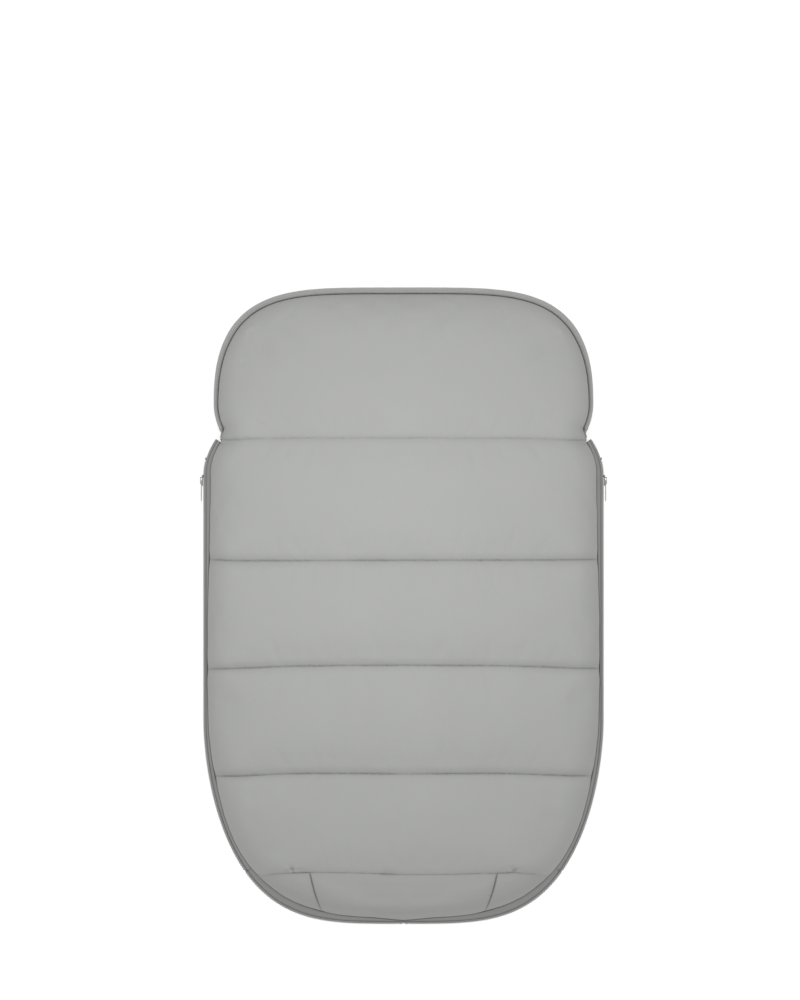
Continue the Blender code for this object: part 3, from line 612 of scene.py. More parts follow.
outerCloth = wovenCloth("outer_cloth", (0.455, 0.462, 0.446))
# the cover's cloth a little darker: painted shade at the foot end
footCloth = wovenCloth("foot_cloth", (0.43, 0.436, 0.422))
pipingCloth = wovenCloth("piping_cloth", (0.46, 0.466, 0.45), crumpleScale=160.0)
backCloth = wovenCloth("back_cloth", (0.30, 0.305, 0.30), thread=0.0009, threadHeight=0.0002)
pileLook = {
    "drift": 0.08, "fleck": 0.10, "fleckScale": 420.0, "roughness": 0.97, "specular": 0.15, "sheen": 0.35,
    "sheenRoughness": 0.5, "pileShow": 0.8,
}


def pileCloth(name, colour, scale, height):
    material, tree, shader = blankMaterial(name)
    body = onBody(tree)
    tone = useGroup(
        tree, "tone", Vector=body, Colour=(*colour, 1), Drift=pileLook["drift"], Fleck=pileLook["fleck"],
        Fleck_Scale=pileLook["fleckScale"])
    feed(
        tree, shader, Base_Color=tone["Colour"], Roughness=pileLook["roughness"],
        Specular_IOR_Level=pileLook["specular"], Sheen_Weight=pileLook["sheen"],
        Sheen_Roughness=pileLook["sheenRoughness"])
    pile = useGroup(tree, "pile", Vector=body, Tuft_Scale=scale)
    addBump(tree, shader, pile["Height"], height, pileLook["pileShow"])
    return material


liningCloth = pileCloth("lining_cloth", (0.34, 0.34, 0.335), 520.0, 0.0009)
# painted shade: the tape's crease setting darkens it where it turns in
tapeLook = {
    "drift": 0.05, "fleck": 0.10, "fleckScale": 900.0, "roughness": 0.85, "specular": 0.3, "creaseDark": 0.30,
    "slant": 0.9, "twill": 5200.0, "twillHeight": 0.5, "ribs": 7800.0, "ribHeight": 0.3, "height": 0.00012,
    "show": 0.8,
}


def tapeWeave(name, colour):   # zip tape, webbing and thread: ribs along the strip, a twill across it
    look = tapeLook
    material, tree, shader = blankMaterial(name)
    split = addNode(tree, "ShaderNodeSeparateXYZ", Vector=alongCloth(tree)).outputs
    slant = maths(tree, "MULTIPLY", maths(tree, "ABSOLUTE", split["Y"]), look["slant"])
    across = maths(tree, "MULTIPLY", maths(tree, "ADD", split["X"], slant), look["twill"])
    twill = maths(tree, "MULTIPLY", maths(tree, "SINE", across), look["twillHeight"])
    ribs = maths(tree, "SINE", maths(tree, "MULTIPLY", split["Y"], look["ribs"]))
    tone = useGroup(
        tree, "tone", Vector=onBody(tree), Colour=(*colour, 1), Drift=look["drift"], Fleck=look["fleck"],
        Fleck_Scale=look["fleckScale"])
    feed(
        tree, shader, Base_Color=paintedCreaseShade(tree, tone["Colour"], look["creaseDark"]), Roughness=look["roughness"],
        Specular_IOR_Level=look["specular"])
    height = maths(tree, "ADD", twill, maths(tree, "MULTIPLY", ribs, look["ribHeight"]))
    addBump(tree, shader, height, look["height"], look["show"])
    return material


zipTape = tapeWeave("zip_tape", (0.372, 0.375, 0.364))
strapWebbing = tapeWeave("strap_webbing", (0.045, 0.045, 0.048))
bindingTape = tapeWeave("binding_tape", (0.16, 0.16, 0.16))
mouldedLook = {"spotScale": 500.0, "scuff": -0.25, "grainScale": 2400.0, "grain": 0.00003, "grainShow": 0.6}


def moulded(name, colour, rubbed, roughness, metallic=0.0, amount=0.3):   # moulded plastic or painted metal
    material, tree, shader = blankMaterial(name)
    body = onBody(tree)
    wear = useGroup(
        tree, "wear", Vector=body, Colour=(*colour, 1), Rubbed=(*rubbed, 1), Amount=amount,
        Spot_Scale=mouldedLook["spotScale"])
    scuff = maths(tree, "MULTIPLY", wear["Mask"], mouldedLook["scuff"])
    feed(
        tree, shader, Base_Color=wear["Colour"], Roughness=maths(tree, "ADD", roughness, scuff), Metallic=metallic)
    grain = noise(tree, body, mouldedLook["grainScale"])
    addBump(tree, shader, grain, mouldedLook["grain"], mouldedLook["grainShow"])
    return material


zipTeeth = moulded("zip_teeth", (0.47, 0.472, 0.46), (0.56, 0.56, 0.55), 0.55)
zipStop = moulded("zip_stop", (0.22, 0.22, 0.215), (0.4, 0.4, 0.4), 0.4, 0.5)
sliderMetal = moulded("slider_metal", (0.30, 0.30, 0.297), (0.44, 0.44, 0.44), 0.55, 0.15, 0.35)
gripRubber = moulded("grip_rubber", (0.030, 0.030, 0.031), (0.07, 0.07, 0.07), 0.72, 0.0, 0.25)
gripBase = pileCloth("grip_base", (0.022, 0.022, 0.023), 900.0, 0.0003)
stitchThread = tapeWeave("stitch_thread", (0.30, 0.305, 0.295))
seamThread = tapeWeave("seam_thread", (0.24, 0.244, 0.236))
darkThread = tapeWeave("dark_thread", (0.10, 0.10, 0.10))
print("finishes made:", len(bpy.data.materials))

# Cloth that swells and settles between its seams, on a coarse net of the same shape
settling = {
    "frames": 20,
    "quality": 6,
    "mass": 0.2,
    "stretch": 15,
    "shear": 8,
    "bending": 0.6,
    "pressure": 3.0,
    "fullness": 0.006,
    "slack": 0.85,
    "cap": 0.005,
    "rimReach": 0.010,
    "seamReach": 0.016,
    "besideSeam": 0.2,
}


def settledCloth(name, net, pinned):
    rows, columns = net.shape[:2]
    mesh = bpy.data.meshes.new(name)
    mesh.from_pydata(net.reshape(-1, 3).tolist(), [], gridFaces(rows, columns).tolist())
    body = linked(name, mesh)
    held = body.vertex_groups.new(name="sewn")
    held.add([int(i) for i in np.flatnonzero(pinned.ravel())], 1.0, "REPLACE")
    modifier = body.modifiers.new("settle", "CLOTH")
    cloth = modifier.settings
    cloth.quality = settling["quality"]
    cloth.mass = settling["mass"]
    cloth.tension_stiffness = cloth.compression_stiffness = settling["stretch"]
    cloth.shear_stiffness = settling["shear"]
    cloth.bending_stiffness = settling["bending"]
    cloth.vertex_group_mass = "sewn"
    cloth.use_pressure = True
    cloth.uniform_pressure_force = settling["pressure"]
    cloth.shrink_min = -settling["fullness"]
    cloth.effector_weights.gravity = 0
    modifier.collision_settings.use_collision = False
    modifier.point_cache.frame_end = settling["frames"]
    for step in range(1, settling["frames"] + 1):
        scene.frame_set(step)
    result = body.evaluated_get(bpy.context.evaluated_depsgraph_get()).to_mesh()
    spots = np.empty(len(result.vertices) * 3, np.float32)
    result.vertices.foreach_get("co", spots)
    bpy.data.objects.remove(body)
    scene.frame_set(1)
    return spots.reshape(rows, columns, 3).astype(float)


def quiltTop(name, formAt, swellAt, detailAt, rows, columns, netRows, netColumns, pinnedAt):
    form = formAt(rows, columns)
    top = padLayer(form, swellAt(form) + detailAt(form), 0)
    net = formAt(netRows, netColumns)
    swell = swellAt(net)
    settled = settledCloth(name + "_net", padLayer(net, swell * settling["slack"], 0), pinnedAt(net))
    change = settled - padLayer(net, swell, 0)
    length = np.linalg.norm(change, axis=2, keepdims=True) + 1e-9
    change *= settling["cap"] * np.tanh(length / settling["cap"]) / length
    print(name, "settled, farthest", round(float(length.max()) * 1000, 2), "mm")
    across = np.array([[np.interp(columns, netColumns, line) for line in row.T] for row in change])
    fine = np.array([[np.interp(rows, netRows, line) for line in across[:, :, i].T] for i in range(len(columns))])
    held = np.clip(form["far"] / settling["rimReach"], 0, 1)
    least = settling["besideSeam"]
    held *= least + (1 - least) * np.clip(form["away"] / settling["seamReach"], 0, 1)
    return form, top + fine.transpose(2, 0, 1) * held[..., None]


# Cover: four quilted channels, sewn through at five seams
cover = {
    "besideSeam": (0, 0.0005, 0.0010, 0.0016, 0.0024, 0.0034, 0.0047, 0.0063, 0.0084, 0.0112, 0.0150, 0.020),
    "foldRows": 0.050,   # the lining keeps every row where it folds at the foot
    "besideSeamNet": (0, 0.003, 0.0065, 0.011, 0.016),
    "rowStep": 0.0044,
    "netRowStep": 0.0058,
    "columns": 205,
    "netColumns": 101,
    "rollShare": 0.12,
    "rollTurns": 13,
    "netTurns": 6,
    "groove": 0.0013,
    "grooveWidth": 0.0012,
    "valley": 0.0024,
    "valleyWidth": 0.0060,
    "foldBand": 0.03,   # how near a folding seam a row counts as part of it
    "foldGroove": 0.30,
    "shoulderPull": 2.6,
    "shoulderX": 0.226,
    "shoulderReach": 0.020,
    "footEase": 0.75,
    "footPull": 2.4,
    "dartX": 0.126,
    "dartReach": 0.012,
    "tightX": -0.020,
    "tightReach": 0.008,
    "fadeX": 0.179,
    "fadeLength": 0.014,
    "slit": 0.00006,
    "sewnReach": 0.0004,
    "slowPull": (0.85, 0.75, 0.35, 1.3, 2.3),   # mean, swing, least, most, and change from seam to seam
    "slowWaves": (0.06, 0.13),
    "quickPull": (1, 0.75, 0.3, 1.6, 9),
    "quickWaves": (0.0054, 0.0083, 0.0125),
    "valleyPull": (0.6, 0.4),   # share that stays, and share that follows the thread's pull
    "riseLength": 0.0012,
    "patches": (0.55, 0.6),   # mean and swing
    "patchWaves": (0.05, 0.09),
    "gather": 0.0005,
    "gatherReach": 0.0055,
    "gatherWaves": (0.0064, 0.0093, 0.0143),
    "broad": 0.0004,
    "broadReach": 0.016,
    "broadWaves": (0.021, 0.034, 0.052),
    "uneven": 0.0006,
    "unevenWaves": (0.055, 0.11, 0.19),
    "pinchSpots": ((-0.1384, -0.3268), (0.1385, -0.3283)),
    "pinchDepth": 0.0054,
    "pinchWidth": 0.0019,
    "rays": (5, 0.10, 0.006, 0.005),   # number, depth, distance and width of the creases round a pinch
    "tail": (0.35, 0.0012, 0.0009),    # depth, offset and width of the dart's start below it
    # painted shade: width of the dark lines, their strength at the hem, the pinches and the collar seam, and their
    # most
    "stainWidth": 0.0011,
    "hemStain": 0.8,
    "pinchStain": 0.0016,
    "collarStain": 0.3,
    "stainMost": 1.2,
    "stitchTrim": 6,
    "seed": 11,
}


def channelYs(beside, step):   # rows from the foot seam to the collar seam, closer beside the seams
    near = np.array(beside)
    rows = []
    for low, high in zip(seamYs, seamYs[1:]):
        count = int((high - low - 2 * near[-1]) / step)
        middle = np.linspace(low + near[-1], high - near[-1], count + 1)[1:-1]
        rows += [low + near, middle, (high - near)[::-1]]
    rows = np.unique(np.concatenate(rows).round(7))
    rows[0] += cover["slit"]
    rows[-1] -= cover["slit"]
    return rows


def columnShares(count, turns):
    inner = 1 - cover["rollShare"]
    side = np.linspace(inner, 1, turns)
    return np.concatenate([-side[::-1], np.linspace(-inner, inner, count)[1:-1], side])


def acrossAt(share, y):   # places over a row from hem to hem, crowded where the edge rolls down
    edge = rimXAt(y)
    squareness = np.interp(y, rim[:, 1], rimSquareness)
    inner = 1 - cover["rollShare"]
    turn = np.radians(90) * np.clip((1 - np.abs(share)) / cover["rollShare"], 0, 1)
    roll = pad["rollReach"] / squareness
    side = edge - roll * (1 - np.cos(turn))
    return np.where(np.abs(share) > inner, side, (edge - roll) * np.abs(share) / inner) * np.sign(share)


def coverForm(rows, columns):
    y, share = np.meshgrid(rows, columns, indexing="ij")
    x = acrossAt(share, y)
    moved = wandered(x, y)
    form = padForm(np.stack([acrossAt(share, moved), moved], -1))
    form["away"] = np.abs(y[..., None] - np.array(seamYs)).min(-1)
    form["plainY"] = y
    return form


def seamFade(x):   # 1 where the foot seam shows, 0 where it melts into the gusset's corner
    return np.clip((cover["fadeX"] - np.abs(x)) / cover["fadeLength"], 0, 1)


def collarSeamDepth(x):   # deepest where the seam runs out at the shoulders
    near = bump(np.clip(cover["shoulderX"] - np.abs(x), 0, None), cover["shoulderReach"])
    return cover["foldGroove"] * (1 + cover["shoulderPull"] * near)


# strength of the painted shade along the collar seam, strongest at the shoulders
def collarSeamShade(x):
    return cover["collarStain"] * collarSeamDepth(x) / cover["foldGroove"]


def footSeamDepth(x):   # pulled tighter beside the darts, and at one spot left of the middle
    atDart = cover["footPull"] * bump(np.abs(x) - cover["dartX"], cover["dartReach"])
    atSpot = cover["footPull"] * bump(x - cover["tightX"], cover["tightReach"])
    return cover["foldGroove"] * (cover["footEase"] + atDart + atSpot)


def footSeamAway(form):   # a seam that has melted away leaves no valley
    low = form["plainY"] < (seamYs[0] + seamYs[1]) / 2
    return np.where(low, form["away"] + pad["creaseReach"] * (1 - seamFade(form["x"])), form["away"])


def coverSwell(form):
    return pad["puff"] * crease(footSeamAway(form))


def seamStrength(form, seed):   # how firmly the thread pulls at each place along a seam
    along = form["x"]
    row = form["plainY"] if "plainY" in form else form["y"] * 0
    strength = 1
    for key, start in (("slow", seed), ("quick", seed + 9)):
        mean, swing, least, most, spread = cover[key + "Pull"]
        pull = mean + swing * ripple(along, row * spread, cover[key + "Waves"], start)
        strength = strength * np.clip(pull, least, most)
    return strength


def gatherFolds(form, away, seed, shown=1.0, groove=1.0):   # the stitched groove and the small folds off it
    x, y = form["x"], form["y"]
    strength = seamStrength(form, seed)
    folds = -cover["groove"] * groove * strength * bump(away, cover["grooveWidth"])
    steady, pulled = cover["valleyPull"]
    folds -= cover["valley"] * groove * (steady + pulled * strength) * bump(away, cover["valleyWidth"])
    rising = np.clip(away / cover["riseLength"], 0, 1)
    mean, swing = cover["patches"]
    patchy = mean + swing * ripple(x, y, cover["patchWaves"], seed + 1)
    fine = gathers(x, away, cover["gatherWaves"], seed + 2) * np.exp(-away / cover["gatherReach"])
    broad = gathers(x, away, cover["broadWaves"], seed + 3) * np.exp(-away / cover["broadReach"])
    folds += rising * (cover["gather"] * fine * patchy + cover["broad"] * broad)
    return folds * shown + cover["uneven"] * ripple(x, y, cover["unevenWaves"], seed + 4) * crease(away)


def foldBands(form):   # which places belong to the foot seam, and which to the collar seam
    return form["plainY"] < seamYs[0] + cover["foldBand"], form["plainY"] > seamYs[-1] - cover["foldBand"]


def coverDetail(form):
    away = footSeamAway(form)
    low, high = foldBands(form)
    depth = np.where(low, footSeamDepth(form["x"]), np.where(high, collarSeamDepth(form["x"]), 1))
    detail = gatherFolds(form, away, cover["seed"], np.where(low, seamFade(form["x"]), 1), depth)
    rays, rayDepth, rayReach, rayWidth = cover["rays"]
    tailDepth, tailX, tailWidth = cover["tail"]
    for x, y in cover["pinchSpots"]:
        far = np.hypot(form["x"] - x, form["y"] - y)
        angle = np.arctan2(form["y"] - y, form["x"] - x)
        ray = rayDepth * np.cos(rays * angle + x * 40) * bump(far - rayReach, rayWidth)
        pinch = bump(far, cover["pinchWidth"]) + ray
        below = (form["y"] < y) & (form["y"] > footSeamY)
        tail = bump(form["x"] - x + np.sign(x) * tailX, tailWidth) * below
        detail -= cover["pinchDepth"] * (pinch + tailDepth * tail)
    return shallow(detail)


def coverSink(form):
    return pad["seamFill"] + pad["innerPuff"] * crease(form["away"]) * form["edge"]


def onSeams(form):
    held = form["away"] < cover["sewnReach"]
    held[:, [0, -1]] = True
    return held


def paintedShade(form, away, seam=1.0):   # painted shade: darker colour where the cloth turns in, at the seams, the hem and the pinches
    width = cover["stainWidth"]
    shadeMarks = np.maximum(bump(away, width) * seam, cover["hemStain"] * bump(form["far"], width))
    for x, y in cover["pinchSpots"]:
        shadeMarks = np.maximum(shadeMarks, bump(np.hypot(form["x"] - x, form["y"] - y), cover["pinchStain"]))
    return np.clip(shadeMarks, 0, 1)


def makeCover():
    rows = channelYs(cover["besideSeam"], cover["rowStep"])
    columns = columnShares(cover["columns"], cover["rollTurns"])
    form, top = quiltTop(
        "cover", coverForm, coverSwell, coverDetail, rows, columns,
        channelYs(cover["besideSeamNet"], cover["netRowStep"]),
        columnShares(cover["netColumns"], cover["netTurns"]), onSeams)
    bottom = padLayer(form, 0, pad["skin"] + coverSink(form))
    # how strong the painted shade is along each seam
    low, high = foldBands(form)
    shown = np.where(low, footSeamDepth(form["x"]) * seamFade(form["x"]), 1)
    shown = np.where(high, collarSeamShade(form["x"]), shown)
    shown = shown * np.clip(seamStrength(form, cover["seed"]), 0, cover["stainMost"])
    quilt = gridBody("cover_quilt", top, bottom, [outerCloth], {"crease": paintedShade(form, form["away"], shown)})
    dress(quilt, "outer_cloth", "cover_shell", *fillNodes)
    seamRows = [int(np.abs(rows - y).argmin()) for y in seamYs[1:-1]]
    sewn = slice(cover["stitchTrim"], -cover["stitchTrim"])
    lines = [(top[row, sewn], form["lean"][row, sewn]) for row in seamRows]
    kept = np.flatnonzero((np.arange(len(rows)) % 2 == 0) | (rows < rows[0] + cover["foldRows"]))
    thin = {key: value[kept][:, ::2] for key, value in form.items()}
    return quilt, thin, lines


def makeLining(name, form, sink, node):   # one thin cloth under a quilt
    depth = pad["skin"] + sink + pad["liningGap"]
    lining = gridBody(name, padLayer(form, 0, depth), padLayer(form, 0, depth + pad["lining"]), [liningCloth])
    return dress(lining, "lining_cloth", node)


coverQuilt, coverThin, coverSeamLines = makeCover()
coverLining = makeLining("cover_inner_lining", coverThin, coverSink(coverThin), "cover_lining")
print("cover made:", len(coverQuilt.data.polygons), "faces")

# Collar: a free flap with a rolled edge, on its own seam
collar = {
    "columns": 190,
    "rows": 60,
    "netColumns": 90,
    "netRows": 34,
    "rollTurns": 12,
    "netTurns": 6,
    "cornerShare": 0.86,
    "sideRoll": 0.128,
    "endRoll": 0.165,
    "seamShares": (0, 0.004, 0.008, 0.013, 0.020, 0.030, 0.042, 0.058, 0.078, 0.104),
    "netSeamShares": (0, 0.025, 0.06),
    "wanderReach": 0.014,
    "tuck": ((0.2226, 0.2220), (0.2258, 0.2168)),   # crease where the edge roll is pinched at the shoulder
    "tuckDepth": 0.0046,
    "tuckWidth": 0.0014,
    "tuckBroad": (0.4, 0.0045),   # share and width of the wider hollow round it
    "tuckRays": (7, 0.0005, 0.005, 0.004),
    "flange": (0.0014, 0.0007),   # the body's lower edge reaches out under the edge roll, and down
    "seed": 31,
}


def alongPath(points, shares):
    lengths = lengthsAlong(points)
    return pointsAt(shares * lengths[-1], lengths, points)


def rolledShares(count, turns, roll):   # shares from the middle out to an edge, crowded on its roll
    angles = np.radians(np.linspace(90, 0, turns))
    side = 1 - roll * (1 - np.cos(angles))
    return side, np.linspace(-side[0], side[0], count)[1:-1]


def collarColumns(count, turns):
    side, middle = rolledShares(count, turns, collar["sideRoll"])
    return np.concatenate([-side[::-1], middle, side])


def collarRows(count, turns, start):
    side, _ = rolledShares(count, turns, collar["endRoll"])
    start = np.array(start)
    return np.concatenate([start, np.linspace(start[-1], side[0], count)[1:-1], side])


def collarForm(v, u):   # patch between the seam, both sides and the head end
    head = headOutline(shellInset)
    lowY = collarSeamY + cover["slit"]
    lowX = rimXAt(lowY)
    corner = np.abs(head[:, 0] - plan["headHalf"] * collar["cornerShare"]).argmin()
    side = np.concatenate([[(lowX, lowY)], head[:corner + 1]])
    edge = alongPath(side, v)
    high = alongPath(head[corner:], 1 - np.abs(u))
    high[:, 0] *= np.sign(u)
    x = high[:, 0] * v[:, None] + edge[:, :1] * u - side[-1, 0] * u * v[:, None]
    y = high[:, 1] * v[:, None] + edge[:, 1:] - side[-1, 1] * v[:, None]
    form = padForm(np.stack([x, wandered(x, y, collar["wanderReach"])], -1))
    form["away"] = np.clip(y - collarSeamY, 0, None)
    return form


def collarSwell(form):
    return pad["puff"] * crease(form["away"])


def collarDetail(form):
    x, y = np.abs(form["x"]), form["y"]
    detail = gatherFolds(form, form["away"], collar["seed"], 1, collarSeamDepth(form["x"]))
    far = awayFrom(x, y, *collar["tuck"])
    share, width = collar["tuckBroad"]
    detail -= collar["tuckDepth"] * (bump(far, collar["tuckWidth"]) + share * bump(far, width))
    angle = np.arctan2(y - collar["tuck"][0][1], x - collar["tuck"][0][0])
    rays, height, reach, width = collar["tuckRays"]
    detail += height * np.cos(rays * angle) * bump(far - reach, width)
    return shallow(detail)


# painted shade along the collar seam, the hem and the crease of the shoulder tuck
def collarShadeMarks(form):
    (ax, ay), (bx, by) = collar["tuck"]
    x, y = np.abs(form["x"]), form["y"]
    share = np.clip((ay - y) / (ay - by), 0, 1)
    line = np.hypot(x - ax - (bx - ax) * share, np.clip(y - ay, 0, None) + np.clip(by - y, 0, None))
    seam = np.clip(collarSeamShade(x), 0, 1)
    return np.maximum(paintedShade(form, form["away"], seam), bump(line, collar["tuckWidth"]))


def onBorder(held):   # every place on the border of a grid held as well
    held[[0, -1]] = True
    held[:, [0, -1]] = True
    return held


def onCollarEdge(form):
    return onBorder(np.zeros(form["x"].shape, bool))


def makeCollar():
    form, top = quiltTop(
        "collar", collarForm, collarSwell, collarDetail,
        collarRows(collar["rows"], collar["rollTurns"], collar["seamShares"]),
        collarColumns(collar["columns"], collar["rollTurns"]),
        collarRows(collar["netRows"], collar["netTurns"], collar["netSeamShares"]),
        collarColumns(collar["netColumns"], collar["netTurns"]), onCollarEdge)
    sink = pad["seamFill"] + (pad["collarFill"] - pad["seamFill"]) * crease(form["away"]) * form["edge"]
    bottom = padLayer(form, 0, pad["skin"] + sink)
    out, down = collar["flange"]
    ledge = onCollarEdge(form)
    ledge[:3] = False
    bottom[ledge, :2] = form["base"][ledge, :2] + form["lean"][ledge, :2] * out
    bottom[ledge, 2] -= down
    quilt = gridBody("collar_quilt", top, bottom, [outerCloth], {"crease": collarShadeMarks(form)})
    dress(quilt, "outer_cloth", "collar_shell", "collar_wadding")
    thin = {key: value[::2, ::2] for key, value in form.items()}
    lining = makeLining("collar_inner_lining", thin, sink[::2, ::2], "collar_lining")
    return quilt, lining, form


collarQuilt, collarLining, collarShape = makeCollar()
print("collar made:", len(collarQuilt.data.polygons), "faces")


# Tubes and strips that follow a path
def sweepTube(name, path, ring, material):   # ring: (stations, sides, 3) points already placed
    stations, sides = ring.shape[:2]
    piece = newPiece(name, ring.reshape(-1, 3), tubeFaces(stations, sides), [material])
    uv = np.stack(np.meshgrid(lengthsAlong(path), lengthsAlong(ring[stations // 2]), indexing="ij"), -1)
    addUv(piece.data, uv.reshape(-1, 2))
    return piece


piping = {
    "rise": 0.003,
    "sides": 36,
    "step": 0.0018,
    "flutter": 0.042,
    "flutterWaves": (0.012, 0.021, 0.034),
    "endLength": 0.0010,
    "sewnAngle": 128,
    "sewnWidth": 9,
    "sewnDepth": 0.26,
    "neckSlim": 0.16,
    "lowEnd": 0.2080,
    "seed": 31,
}


def makePiping():
    columns = collarShape["x"].shape[1]
    sideX, sideY = collarShape["x"][:, -1], collarShape["y"][:, -1]
    low = np.stack([sideX, sideY], 1)[sideY > piping["lowEnd"]]
    top = np.stack([collarShape["x"][-1], collarShape["y"][-1]], 1)[columns // 2:][::-1]
    right, _ = resample(np.concatenate([low, top[1:]]), piping["step"])
    right[-1, 0] = 0
    radius = pipingRadiusAt(right[:, 1])
    line = right - outwardNormals(right) * (radius + plan["pipingClear"])[:, None]
    line = np.concatenate([line, (line[:-1] * (-1, 1))[::-1]])
    radius = np.concatenate([radius, radius[:-1][::-1]])
    lengths = lengthsAlong(line)
    ends = np.minimum(lengths, lengths[-1] - lengths) / piping["endLength"]
    radius = radius * np.sqrt(np.clip(1 - (1 - np.clip(ends, 0, 1)) ** 2, 0.02, 1))
    radius *= 1 + piping["flutter"] * ripple(lengths, lengths * 0, piping["flutterWaves"], piping["seed"])
    path = np.column_stack([line, np.full(len(line), pad["rimZ"] + piping["rise"])])
    out = np.column_stack([outwardNormals(line), np.zeros(len(line))])
    around = np.linspace(0, math.tau, piping["sides"], endpoint=False)
    sewn = bump(np.degrees(around) - piping["sewnAngle"], piping["sewnWidth"])
    slim = 1 - piping["neckSlim"] * (line[:, 1] < plan["pinchYs"][1])
    girth = (radius * slim)[:, None] * (1 - piping["sewnDepth"] * sewn)
    turned = np.cos(around)[None, :, None] * out[:, None] + np.sin(around)[None, :, None] * np.array([0, 0, 1])
    tube = sweepTube("collar_edge_roll", path, path[:, None] + girth[..., None] * turned, pipingCloth)
    return dress(tube, "piping_cloth", "collar_piping"), path, radius


collarRoll, rollPath, rollRadius = makePiping()

# Foot cap: a panel between two darts and a gusset on each side
foot = {
    "dartTopX": 0.1169,
    "dartHemX": 0.1019,
    "puffShare": 0.7,
    "dartPuffShare": 0.45,
    "dartPuffLength": 0.045,
    "dartBow": 0.0012,
    "dartBowReach": 0.03,
    "columns": ((0, 0.0005, 0.0011, 0.0018, 0.0028, 0.0042, 0.0065, 0.010), 0.0028, 24),   # dart, panel, gusset
    "netColumns": ((0, 0.005), 0.006, 10),
    "rows": ((0, 0.006, 0.014, 0.024, 0.040, 0.060, 0.09, 0.13), 11, 15),   # beside the seam, middle, roll
    "netRows": ((0, 0.05, 0.12), 6, 6),
    "cornerSpare": 0.0004,
    "seamReach": 1.3,
    "wanderReach": 0.030,
    "dartGroove": 0.0034,
    "dartEven": 0.8,
    "dartDeeper": 0.02,
    "dartStart": 0.0015,
    "dartWidth": 0.0008,
    "dartStain": 0.0009,
    "ridge": ((0.163, -0.341), (0.125, -0.361)),
    "ridgeHeight": 0.0011,
    "ridgeWidth": 0.0045,
    "seed": 51,
}


def footHemY(x):
    lower = rim[rim[:, 1] < seamYs[1]]
    return np.interp(np.abs(x), lower[:, 0], lower[:, 1])


def dartDistance(x, y):   # in from the dart towards the panel, whose line bows slightly
    share = np.clip((footSeamY - y) / (footSeamY - footHemY(foot["dartHemX"])), 0, 1)
    bow = foot["dartBow"] * np.sin(math.pi * share)
    return foot["dartTopX"] + (foot["dartHemX"] - foot["dartTopX"]) * share + bow - np.abs(x)


def footColumns(near, step, corner):
    end = rimXAt(footSeamY) - foot["cornerSpare"]
    near = np.array(near)
    panelHalf = foot["dartTopX"] - near[-1]
    panel = np.linspace(0, panelHalf, int(panelHalf / step))[:-1]
    gusset = np.linspace(foot["dartTopX"] + near[-1], end, corner)
    half = np.concatenate([panel, foot["dartTopX"] - near[::-1], foot["dartTopX"] + near[1:-1], gusset])
    return np.concatenate([-half[:0:-1], half])


def footRows(start, middle, turns):
    angles = np.radians(np.linspace(90, 0, turns))
    end = 1 - 0.5 * (1 - np.cos(angles))
    return np.concatenate([start, np.linspace(start[-1], end[0], middle)[1:-1], end])


def footForm(v, topX):
    end = rimXAt(footSeamY) - foot["cornerSpare"]
    lean = foot["dartTopX"] - foot["dartHemX"]
    wide = np.abs(topX)
    inner = wide * foot["dartHemX"] / foot["dartTopX"]
    outer = wide - lean * (end - wide) / (end - foot["dartTopX"])
    hemX = np.where(wide <= foot["dartTopX"], inner, outer) * np.sign(topX)
    v = v[:, None]
    share = v * (1 - v) * 4
    x = topX * (1 - v) + hemX * v
    x = x + np.sign(x) * foot["dartBow"] * share * bump(wide - foot["dartTopX"], foot["dartBowReach"])
    y = (footSeamY - cover["slit"]) * (1 - v) + footHemY(hemX) * v
    form = padForm(np.stack([x, wandered(x, y, foot["wanderReach"])], -1))
    form["drop"] = footSeamY - y
    form["away"] = form["drop"] + pad["creaseReach"] * (1 - seamFade(x))
    form["dart"] = dartDistance(form["x"], y)
    return form


def footSwell(form):
    least = foot["dartPuffShare"]
    side = np.where(form["dart"] >= 0, 1, least) * crease(np.abs(form["dart"]) * foot["seamReach"])
    fuller = side + (1 - least) * np.clip(-form["dart"] / foot["dartPuffLength"], 0, 1)
    side = np.where(form["dart"] < 0, fuller, side)
    share = foot["puffShare"] + (1 - foot["puffShare"]) * (1 - seamFade(form["x"]))
    return pad["puff"] * share * side * crease(form["away"])


def footDetail(form):
    detail = gatherFolds(form, form["away"], foot["seed"], seamFade(form["x"]), footSeamDepth(form["x"]))
    deeper = (1 - foot["dartEven"]) * np.clip(1 - form["drop"] / foot["dartDeeper"], 0, 1)
    depth = foot["dartGroove"] * (foot["dartEven"] + deeper)
    detail -= depth * bump(form["dart"], foot["dartWidth"]) * np.clip(form["drop"] / foot["dartStart"], 0, 1)
    far = awayFrom(np.abs(form["x"]), form["y"], *foot["ridge"])
    return shallow(detail + foot["ridgeHeight"] * bump(far, foot["ridgeWidth"]))


def onFootSeams(form):
    return onBorder(np.abs(form["dart"]) < cover["sewnReach"])


def makeFootCap():
    form, top = quiltTop(
        "foot_cap", footForm, footSwell, footDetail, footRows(*foot["rows"]), footColumns(*foot["columns"]),
        footRows(*foot["netRows"]), footColumns(*foot["netColumns"]), onFootSeams)
    sink = pad["seamFill"] + pad["innerPuff"] * crease(form["drop"]) * form["edge"] * foot["puffShare"]
    # painted shade in the dart grooves, beside the foot seam and at the hem
    dart = bump(form["dart"], foot["dartStain"])
    shadeMarks = np.maximum(paintedShade(form, form["away"], footSeamDepth(form["x"])), dart)
    quilt = gridBody(
        "foot_cap_quilt", top, padLayer(form, 0, pad["skin"] + sink), [footCloth], {"crease": shadeMarks})
    dress(quilt, "foot_cloth", "foot_panel_shell", "foot_gusset_left", "foot_gusset_right", "foot_wadding")
    thin = {key: value[:, ::2] for key, value in form.items()}
    lining = makeLining("foot_inner_lining", thin, sink[:, ::2], "foot_lining")
    return quilt, lining


footQuilt, footLining = makeFootCap()
print("foot cap made:", len(footQuilt.data.polygons), "faces")

